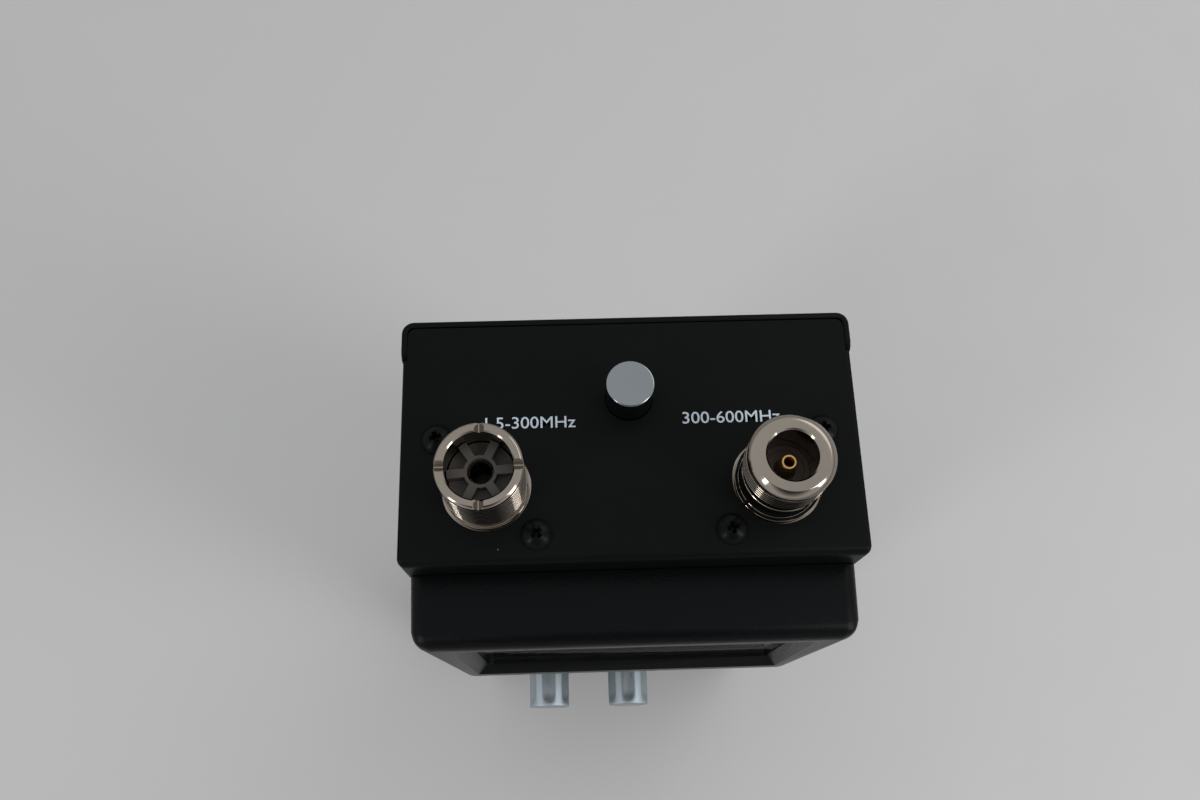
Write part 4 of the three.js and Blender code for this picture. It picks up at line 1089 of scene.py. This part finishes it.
def thread_ridge(core, bottom, top, pitch):
    """The ridge of a thread: a flat-topped profile swept up a helix, with closed ends."""
    root, foot_share, crest_share = 0.1 * MM, 0.96, 0.76
    deselect()
    bpy.ops.mesh.primitive_plane_add(size=1, location=((core + THREAD) / 2 - root / 2, 0, bottom),
                                     rotation=(QUARTER, 0, 0))
    ridge = named("ridge")
    ridge.scale = (THREAD - core + root, pitch * foot_share, 1)
    bpy.ops.object.transform_apply(location=True, rotation=True, scale=True)
    with shaping(ridge):
        choose("VERT", lambda v: v.co.x > (core + THREAD) / 2)
        bpy.ops.transform.resize(value=(1, 1, crest_share))
        choose("FACE", lambda f: True)
        bpy.ops.mesh.delete(type="ONLY_FACE")
    apply(ridge, "SCREW", axis="Z", angle=FULL, screw_offset=pitch, iterations=int((top - bottom) / pitch),
          steps=72, render_steps=72, use_merge_vertices=False, use_smooth_shade=True)
    with shaping(ridge):
        choose("EDGE", lambda edge: edge.is_boundary)
        bpy.ops.mesh.fill_holes(sides=0)
        bpy.ops.mesh.select_all(action="SELECT")
        bpy.ops.mesh.normals_make_consistent(inside=False)
    return ridge


def flange(node, bore):
    """The flange of a socket under the top plate, bored for the shell and its two screws."""
    low, high, middle = around(node)
    sheet_gap, corner = 1.3 * MM, 2 * MM
    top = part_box("chassis_body")[1].z - sheet_gap
    span = (low.z - OVERRUN, top + OVERRUN)
    sheet = rounded("flange", (low.x, low.y, low.z), (high.x, high.y, top), Z, corner, 6)
    screws = (f"socket_screw_{i}" for i in range(1, 5))
    return carve(sheet, hole(node, Z, bore, *span),
                 *(hole(screw, Z, TIGHT_SCREW_HOLE, *span, 32) for screw in screws
                   if (around(screw)[2].x < 0) == (middle.x < 0)))


def socket_shell(name, node, bore, profile, cuts, thread, size):
    """Builds a socket's shell: a turned body with thin rings round its foot, its cuts, its thread between
    two heights above the top plate, and its flange."""
    low, _, middle = around(node)
    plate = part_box("chassis_body")[1].z
    corner, ground, peak = 0.05 * MM, 0.1 * MM, 0.45 * MM
    foot = [(bore, low.z - plate), (FOOT_RINGS[node][0], low.z - plate)]
    for ring in FOOT_RINGS[node]:
        inside = ring - size.lip
        foot += [(ring, ground), (ring, peak - corner), (ring - corner, peak), (inside + corner, peak),
                 (inside, peak - corner), (inside, ground)]
    shell = carve(turned(name, foot + profile, facets=128, ring=True), *cuts)
    ridge = thread_ridge(THREAD - size.thread_depth, *thread, size.thread_pitch)
    place = (middle.x, middle.y, plate)
    shell = gather(name, settle(shell, place), settle(ridge, place), flange(node, bore))
    dress(shell, nickel_plate(), BODY, "nickel", node, angle=40)


class ANALYZER_OT_uhf_socket(bpy.types.Operator):
    """Build the left socket: threaded shell, notched rim, spoked insulator and contact"""

    bl_idname = "analyzer.uhf_socket"
    bl_label = "Left socket"

    def shell(self, size):
        """The shell, with four V-shaped notches in its rim."""
        bore = 6.25 * MM
        core = THREAD - size.thread_depth
        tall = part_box("uhf_shell")[1].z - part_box("chassis_body")[1].z
        notch = narrow(slab("notch", (bore - OVERRUN, -size.notch / 2, tall - 0.9 * MM),
                            (THREAD + OVERRUN, size.notch / 2, tall + 0.05 * MM)), Z, -1, (1, 0.1, 1))
        notches = [copied(notch, "notch", turn=(0, 0, i * QUARTER)) for i in range(4)]
        bpy.data.objects.remove(notch)
        socket_shell("uhf_socket_shell", "uhf_shell", bore, [
            (core, 0.1 * MM), (core, tall - 1.25 * MM), (THREAD - 0.15 * MM, tall - 1.05 * MM),
            (THREAD, tall - 0.95 * MM), (THREAD, tall - 0.45 * MM), (THREAD - 0.3 * MM, tall - 0.1 * MM),
            (THREAD - 0.5 * MM, tall), (bore + 0.25 * MM, tall), (bore, tall - 0.25 * MM)],
            notches, (1.2 * MM, tall - 1.3 * MM), size)

    def execute(self, context):
        size = context.scene.analyzer_socket
        self.shell(size)

        middle = around("uhf_shell")[2]
        low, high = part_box("uhf_insulator")
        outer, deep = (high.x - low.x) / 2, high.z - low.z
        hub, hole_radius, floor = 3.05 * MM, 2.45 * MM, deep - 2.2 * MM
        wheel = turned("uhf_socket_insulator", [
            (hole_radius, 0), (outer, 0), (outer, deep), (hole_radius, deep)], ring=True)
        pocket = turned("pocket", [
            (hub, floor), (outer + OVERRUN, floor), (outer + OVERRUN, deep + OVERRUN),
            (hub, deep + OVERRUN)], ring=True)
        for i in range(3):
            spoke = slab("spoke", (-outer - 2 * OVERRUN, -size.spoke / 2, 0),
                         (outer + 2 * OVERRUN, size.spoke / 2, deep + 2 * OVERRUN))
            carve(pocket, settle(spoke, turn=(0, 0, size.spoke_turn + i * FULL / 6)))
        break_edges(carve(wheel, pocket), 0.12 * MM)
        settle(wheel, (middle.x, middle.y, low.z))
        dress(wheel, grey_phenolic(), BODY, "insulator_grey", "uhf_insulator")

        low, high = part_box("uhf_contact")
        deep = high.z - low.z
        outer, inner, stem, step = 2.3 * MM, 1.95 * MM, 1.3 * MM, 6.2 * MM
        slot_reach, slot_half, slot_depth, slot_turn = 3 * MM, 0.2 * MM, 4 * MM, 0.4
        contact = turned("uhf_socket_contact", [
            (inner, deep - 8 * MM), (inner, deep - 0.15 * MM), (2.05 * MM, deep), (2.2 * MM, deep),
            (outer, deep - 0.1 * MM), (outer, step), (stem, step), (stem, 0)], facets=64)
        for turn in (0, QUARTER):
            slot = slab("slot", (-slot_reach, -slot_half, deep - slot_depth),
                        (slot_reach, slot_half, deep + OVERRUN))
            carve(contact, settle(slot, turn=(0, 0, turn + slot_turn)))
        settle(contact, (middle.x, middle.y, low.z))
        # The contact's dark nickel is painted shade for its deep bore.
        dress(contact, tarnished_nickel(), BODY, "nickel", "uhf_contact")
        return {"FINISHED"}


class ANALYZER_OT_n_socket(bpy.types.Operator):
    """Build the right socket: threaded shell with a bevelled rim, dark insulator and gold contact"""

    bl_idname = "analyzer.n_socket"
    bl_label = "Right socket"

    def shell(self, size):
        """The shell with a ring round its neck, and black rings in the grooves of its foot as painted
        shade.
        """
        bore, neck, ring = 4.67 * MM, 6.9 * MM, 7.6 * MM
        core = THREAD - size.thread_depth
        _, high, middle = around("n_shell")
        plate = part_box("chassis_body")[1].z
        tall = high.z - plate
        notch_half, notch_floor, notch_angle = 0.35 * MM, 0.32 * MM, math.radians(215)
        notch = slab("notch", (6 * MM, -notch_half, notch_floor), (9 * MM, notch_half, 1.8 * MM))
        socket_shell("n_socket_shell", "n_shell", bore, [
            (neck, 0.1 * MM), (neck, 4.4 * MM), (7.5 * MM, 4.4 * MM), (ring, 4.5 * MM), (ring, 5.1 * MM),
            (7.5 * MM, 5.2 * MM), (neck, 5.2 * MM), (neck, 7.2 * MM), (core, 7.3 * MM),
            (core, tall - 2.9 * MM), (THREAD - 0.1 * MM, tall - 2.6 * MM), (THREAD, tall - 2.4 * MM),
            (THREAD, tall - 1.25 * MM), (THREAD - 0.08 * MM, tall - 1.05 * MM),
            (6.95 * MM, tall - 0.2 * MM), (6.75 * MM, tall - 0.05 * MM), (6.6 * MM, tall),
            (bore + 0.3 * MM, tall), (bore, tall - 0.3 * MM)],
            [settle(notch, turn=(0, 0, notch_angle))], (7.8 * MM, tall - 2.9 * MM), size)
        # The black rings in the foot's grooves stand in for the shade there: painted shade.
        first, second = FOOT_RINGS["n_shell"]
        corner, ground, peak, slack = 0.05 * MM, 0.1 * MM, 0.3 * MM, 0.02 * MM
        rings = [turned("ring", [
            (inner, ground), (outer, ground), (outer, peak - corner), (outer - corner, peak),
            (inner + corner, peak), (inner, peak - corner)], (middle.x, middle.y, plate), ring=True)
            for inner, outer in ((neck + slack, second - size.lip), (second, first - size.lip))]
        dress(gather("n_shell_gasket", *rings), satin_black_paint(), BODY, "black_plastic")

    def execute(self, context):
        self.shell(context.scene.analyzer_socket)

        middle = around("n_shell")[2]
        low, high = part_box("n_insulator")
        outer, deep = (high.x - low.x) / 2, high.z - low.z
        bore, throat, step = 1.5 * MM, 4.65 * MM, 3.8 * MM
        insulator = turned("n_socket_insulator", [
            (bore, 0), (outer, 0), (outer, deep - 2 * MM), (throat, deep - 1.8 * MM),
            (throat, deep - 1 * MM), (step, deep - 1 * MM), (step, deep - 1.25 * MM),
            (3.65 * MM, deep - 1.25 * MM), (3.65 * MM, deep - 0.95 * MM), (2.1 * MM, deep - 0.9 * MM),
            (1.75 * MM, deep - 0.5 * MM), (1.6 * MM, deep + 3.4 * MM), (bore, deep + 3.5 * MM)],
            (middle.x, middle.y, low.z), ring=True)
        # The insulator's dark brown is painted shade and a painted reflection of the nickel round it.
        dress(insulator, dark_insulator(), BODY, "insulator_dark", "n_insulator")

        low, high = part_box("n_contact")
        deep = high.z - low.z
        inner, outer, edge = 0.9 * MM, 1.45 * MM, 0.15 * MM
        contact = turned("n_socket_contact", [
            (inner, deep - 9 * MM), (inner, deep - edge), (1.0 * MM, deep), (1.3 * MM, deep),
            (outer, deep - edge), (outer, 0)], (middle.x, middle.y, low.z), facets=48)
        dress(contact, gold_plate(), BODY, "gold", "n_contact")
        return {"FINISHED"}


class ANALYZER_OT_supply_jack(bpy.types.Operator):
    """Build the round supply jack in the right side"""

    bl_idname = "analyzer.supply_jack"
    bl_label = "Supply jack"

    def execute(self, context):
        low, high, middle = around("dc_jack")
        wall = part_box("chassis_body")[1].x
        face = high.x - wall
        bore, rim, neck, bottom, pin_face = 2.9 * MM, 5 * MM, 4.2 * MM, face - 9 * MM, face - 1 * MM
        body = break_edges(slab("body", low, (wall - 1.3 * MM, high.y, high.z)), 0.3 * MM)
        bush = turned("bush", [
            (bore, bottom), (bore, face - 0.25 * MM), (3.1 * MM, face), (4.8 * MM, face),
            (rim, face - 0.2 * MM), (rim, 0.1 * MM), (neck, 0.1 * MM), (neck, -2 * MM), (neck, bottom)],
            facets=72, ring=True)
        pin = turned("pin", [(1 * MM, face - 10 * MM), (1 * MM, face - 1.3 * MM),
                             (0.9 * MM, face - 1.1 * MM), (0.6 * MM, pin_face), (0.1 * MM, pin_face)],
                     facets=36)
        carve(body, rod(bore, (high.x - 9 * MM, middle.y, middle.z), (wall, middle.y, middle.z)))
        place = (wall, middle.y, middle.z)
        jack = gather("supply_jack", body, settle(bush, place, (0, QUARTER, 0)),
                      settle(pin, place, (0, QUARTER, 0)))
        dress(jack, moulded_abs(), BODY, "black_plastic", "dc_jack")
        return {"FINISHED"}


class ANALYZER_OT_markings(bpy.types.Operator):
    """Print the plain ranges on the top plate and the numbers round the band knob"""

    bl_idname = "analyzer.markings"
    bl_label = "Markings"

    def execute(self, context):
        size = context.scene.analyzer_marking
        low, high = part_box("chassis_body")
        ranges = [
            lettering(words, size.range_height, (x * MM, y * MM, high.z + size.ink / 2), (0, 0, 0),
                      INK_SPREAD / 2, 1.09)
            for words, x, y in ((size.low_range, -19.6, 2.75), (size.high_range, 19.6, 2.9))]
        dress(gather("range_markings", *ranges), white_ink(), BODY, "dial_card")
        knob = around("band_knob")[2]
        centre = Vector((knob.x, low.y, knob.z))
        places, step = 7, math.radians(30)
        near, far, line, numbers = 7.6 * MM, 9.2 * MM, 0.4 * MM, 11.4 * MM
        marks = []
        for i in range(places):
            angle = math.pi - i * step
            marks.append(stroke(centre, near, far, line, angle))
            marks.append(lettering(str(i + 1), size.number_height, beside(centre, angle, numbers)))
        dress(gather("band_markings", *marks), white_ink(), BODY, "dial_card")
        return {"FINISHED"}


class ANALYZER_OT_hidden_pieces(bpy.types.Operator):
    """Give the pieces inside the case their finishes"""

    bl_idname = "analyzer.hidden_pieces"
    bl_label = "Hidden pieces"

    def execute(self, context):
        numbered = [f"{name}_{i}" for name in ("board_standoff", "housing_screw") for i in range(1, 5)]
        for material, nodes in (
                (zinc_plated_steel(), ["band_shaft", "tuning_shaft", "switch_bracket", "rf_bracket_left",
                                       "rf_bracket_right", "band_switch", "tuning_control", *numbered]),
                (dark_nylon(), ["power_plunger", "power_switch", "meter_movement", "battery_holder"]),
                (solder_mask(), ["control_board", "rf_board"]),
                (shrink_sleeve(), [f"battery_{i}" for i in range(1, 7)])):
            for node in nodes:
                coat(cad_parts[node], material)
        return {"FINISHED"}


class ANALYZER_OT_stage(bpy.types.Operator):
    """Set up the floor, the lamps, the surroundings and the camera"""

    bl_idname = "analyzer.stage"
    bl_label = "Stage"

    def lamp(self, name, place, aim, size, watts):
        """A large soft lamp that faces a point."""
        deselect()
        bpy.ops.object.light_add(type="AREA", location=place)
        lamp = named(name)
        lamp.data.shape = "RECTANGLE"
        lamp.data.size, lamp.data.size_y = size
        lamp.data.energy = watts
        lamp.rotation_euler = (Vector(place) - Vector(aim)).to_track_quat("Z", "Y").to_euler()

    def room(self, strength):
        """An even white room with a darker part in front, low over the analyzer."""
        world = bpy.data.worlds.new("room")
        world.use_nodes = True
        tree = world.node_tree
        dark_direction, dark_share, edge, heart = (0, -0.77, 0.64), 0.12, 0.78, 0.96
        facing = add_node(tree, "ShaderNodeVectorMath", {"operation": "DOT_PRODUCT"}, {
            0: add_node(tree, "ShaderNodeTexCoord").outputs["Generated"], 1: dark_direction})
        level = add_node(tree, "ShaderNodeMapRange", inputs={
            "Value": facing.outputs["Value"], "From Min": edge, "From Max": heart, "To Min": strength,
            "To Max": dark_share * strength})
        room = tree.nodes["Background"]
        room.inputs["Color"].default_value = (*linear("#fafcff"), 1)
        tree.links.new(level.outputs["Result"], room.inputs["Strength"])
        return world

    def execute(self, context):
        stage = context.scene.analyzer_stage
        scene = context.scene
        scene.view_settings.view_transform = "Standard"

        deselect()
        bpy.ops.mesh.primitive_circle_add(vertices=128, radius=4, fill_type="NGON", location=(0, 0, 0))
        floor = named("floor")
        coat(floor, floor_laminate())

        scene.world = self.room(stage.sky)
        self.lamp("key_lamp", (0.9, 0.8, 1.1), (0, 0, 0.1), (0.9, 0.9), stage.key)
        self.lamp("strip_lamp", (0.68, -0.38, 0.66), (0, 0, 0.2), (0.26, 0.8), stage.strip)
        self.lamp("fill_lamp", (-0.6, -0.46, 0.58), (0, 0, 0.18), (0.14, 0.5), stage.fill)

        deselect()
        bpy.ops.object.camera_add()
        camera = bpy.context.object
        camera.name = "camera"
        camera.data.sensor_width = 36
        camera.data.lens = stage.focal
        camera.data.clip_start = 0.01
        camera.data.clip_end = 20
        place = Vector((-0.0096235, -0.0607391, 0.3845501))
        right = Vector((0.99949, -0.03039, 0.00976))
        down = Vector((-0.02547, -0.94371, -0.3298))
        forward = Vector((0.01923, 0.32938, -0.944))
        turn = Matrix((right, -down, -forward)).transposed().to_4x4()
        camera.matrix_world = Matrix.Translation(place) @ turn
        scene.camera = camera
        return {"FINISHED"}


class ANALYZER_PT_pieces(bpy.types.Panel):
    """Lists the builders of the pieces and their sizes"""

    bl_label = "Antenna analyzer"
    bl_idname = "ANALYZER_PT_pieces"
    bl_space_type = "VIEW_3D"
    bl_region_type = "UI"
    bl_category = "Analyzer"

    def draw(self, context):
        for builder in BUILDERS:
            self.layout.operator(builder.bl_idname)
        for name, group in SETTINGS:
            box = self.layout.box()
            values = getattr(context.scene, name)
            for key in group.__annotations__:
                box.prop(values, key)


SETTINGS = (
    ("analyzer_case", CaseSettings), ("analyzer_meter", MeterSettings),
    ("analyzer_control", ControlSettings), ("analyzer_socket", SocketSettings),
    ("analyzer_marking", MarkingSettings), ("analyzer_finish", FinishSettings),
    ("analyzer_stage", StageSettings),
)
BUILDERS = (
    ANALYZER_OT_stage, ANALYZER_OT_case, ANALYZER_OT_rear_cover, ANALYZER_OT_screws,
    ANALYZER_OT_meter_housing, ANALYZER_OT_panes, ANALYZER_OT_dial, ANALYZER_OT_display,
    ANALYZER_OT_controls, ANALYZER_OT_power_button, ANALYZER_OT_uhf_socket, ANALYZER_OT_n_socket,
    ANALYZER_OT_supply_jack, ANALYZER_OT_markings, ANALYZER_OT_hidden_pieces,
)


def register():
    """Registers the settings, the builders and the panel."""
    for name, group in SETTINGS:
        bpy.utils.register_class(group)
        setattr(bpy.types.Scene, name, PointerProperty(type=group))
    for builder in BUILDERS:
        bpy.utils.register_class(builder)
    bpy.utils.register_class(ANALYZER_PT_pieces)


def unregister():
    """Removes the panel, the builders and the settings."""
    bpy.utils.unregister_class(ANALYZER_PT_pieces)
    for builder in reversed(BUILDERS):
        bpy.utils.unregister_class(builder)
    for name, group in reversed(SETTINGS):
        delattr(bpy.types.Scene, name)
        bpy.utils.unregister_class(group)


def main():
    """Builds every piece."""
    register()
    for builder in BUILDERS:
        group, name = builder.bl_idname.split(".")
        getattr(getattr(bpy.ops, group), name)()


if __name__ == "__main__":
    main()
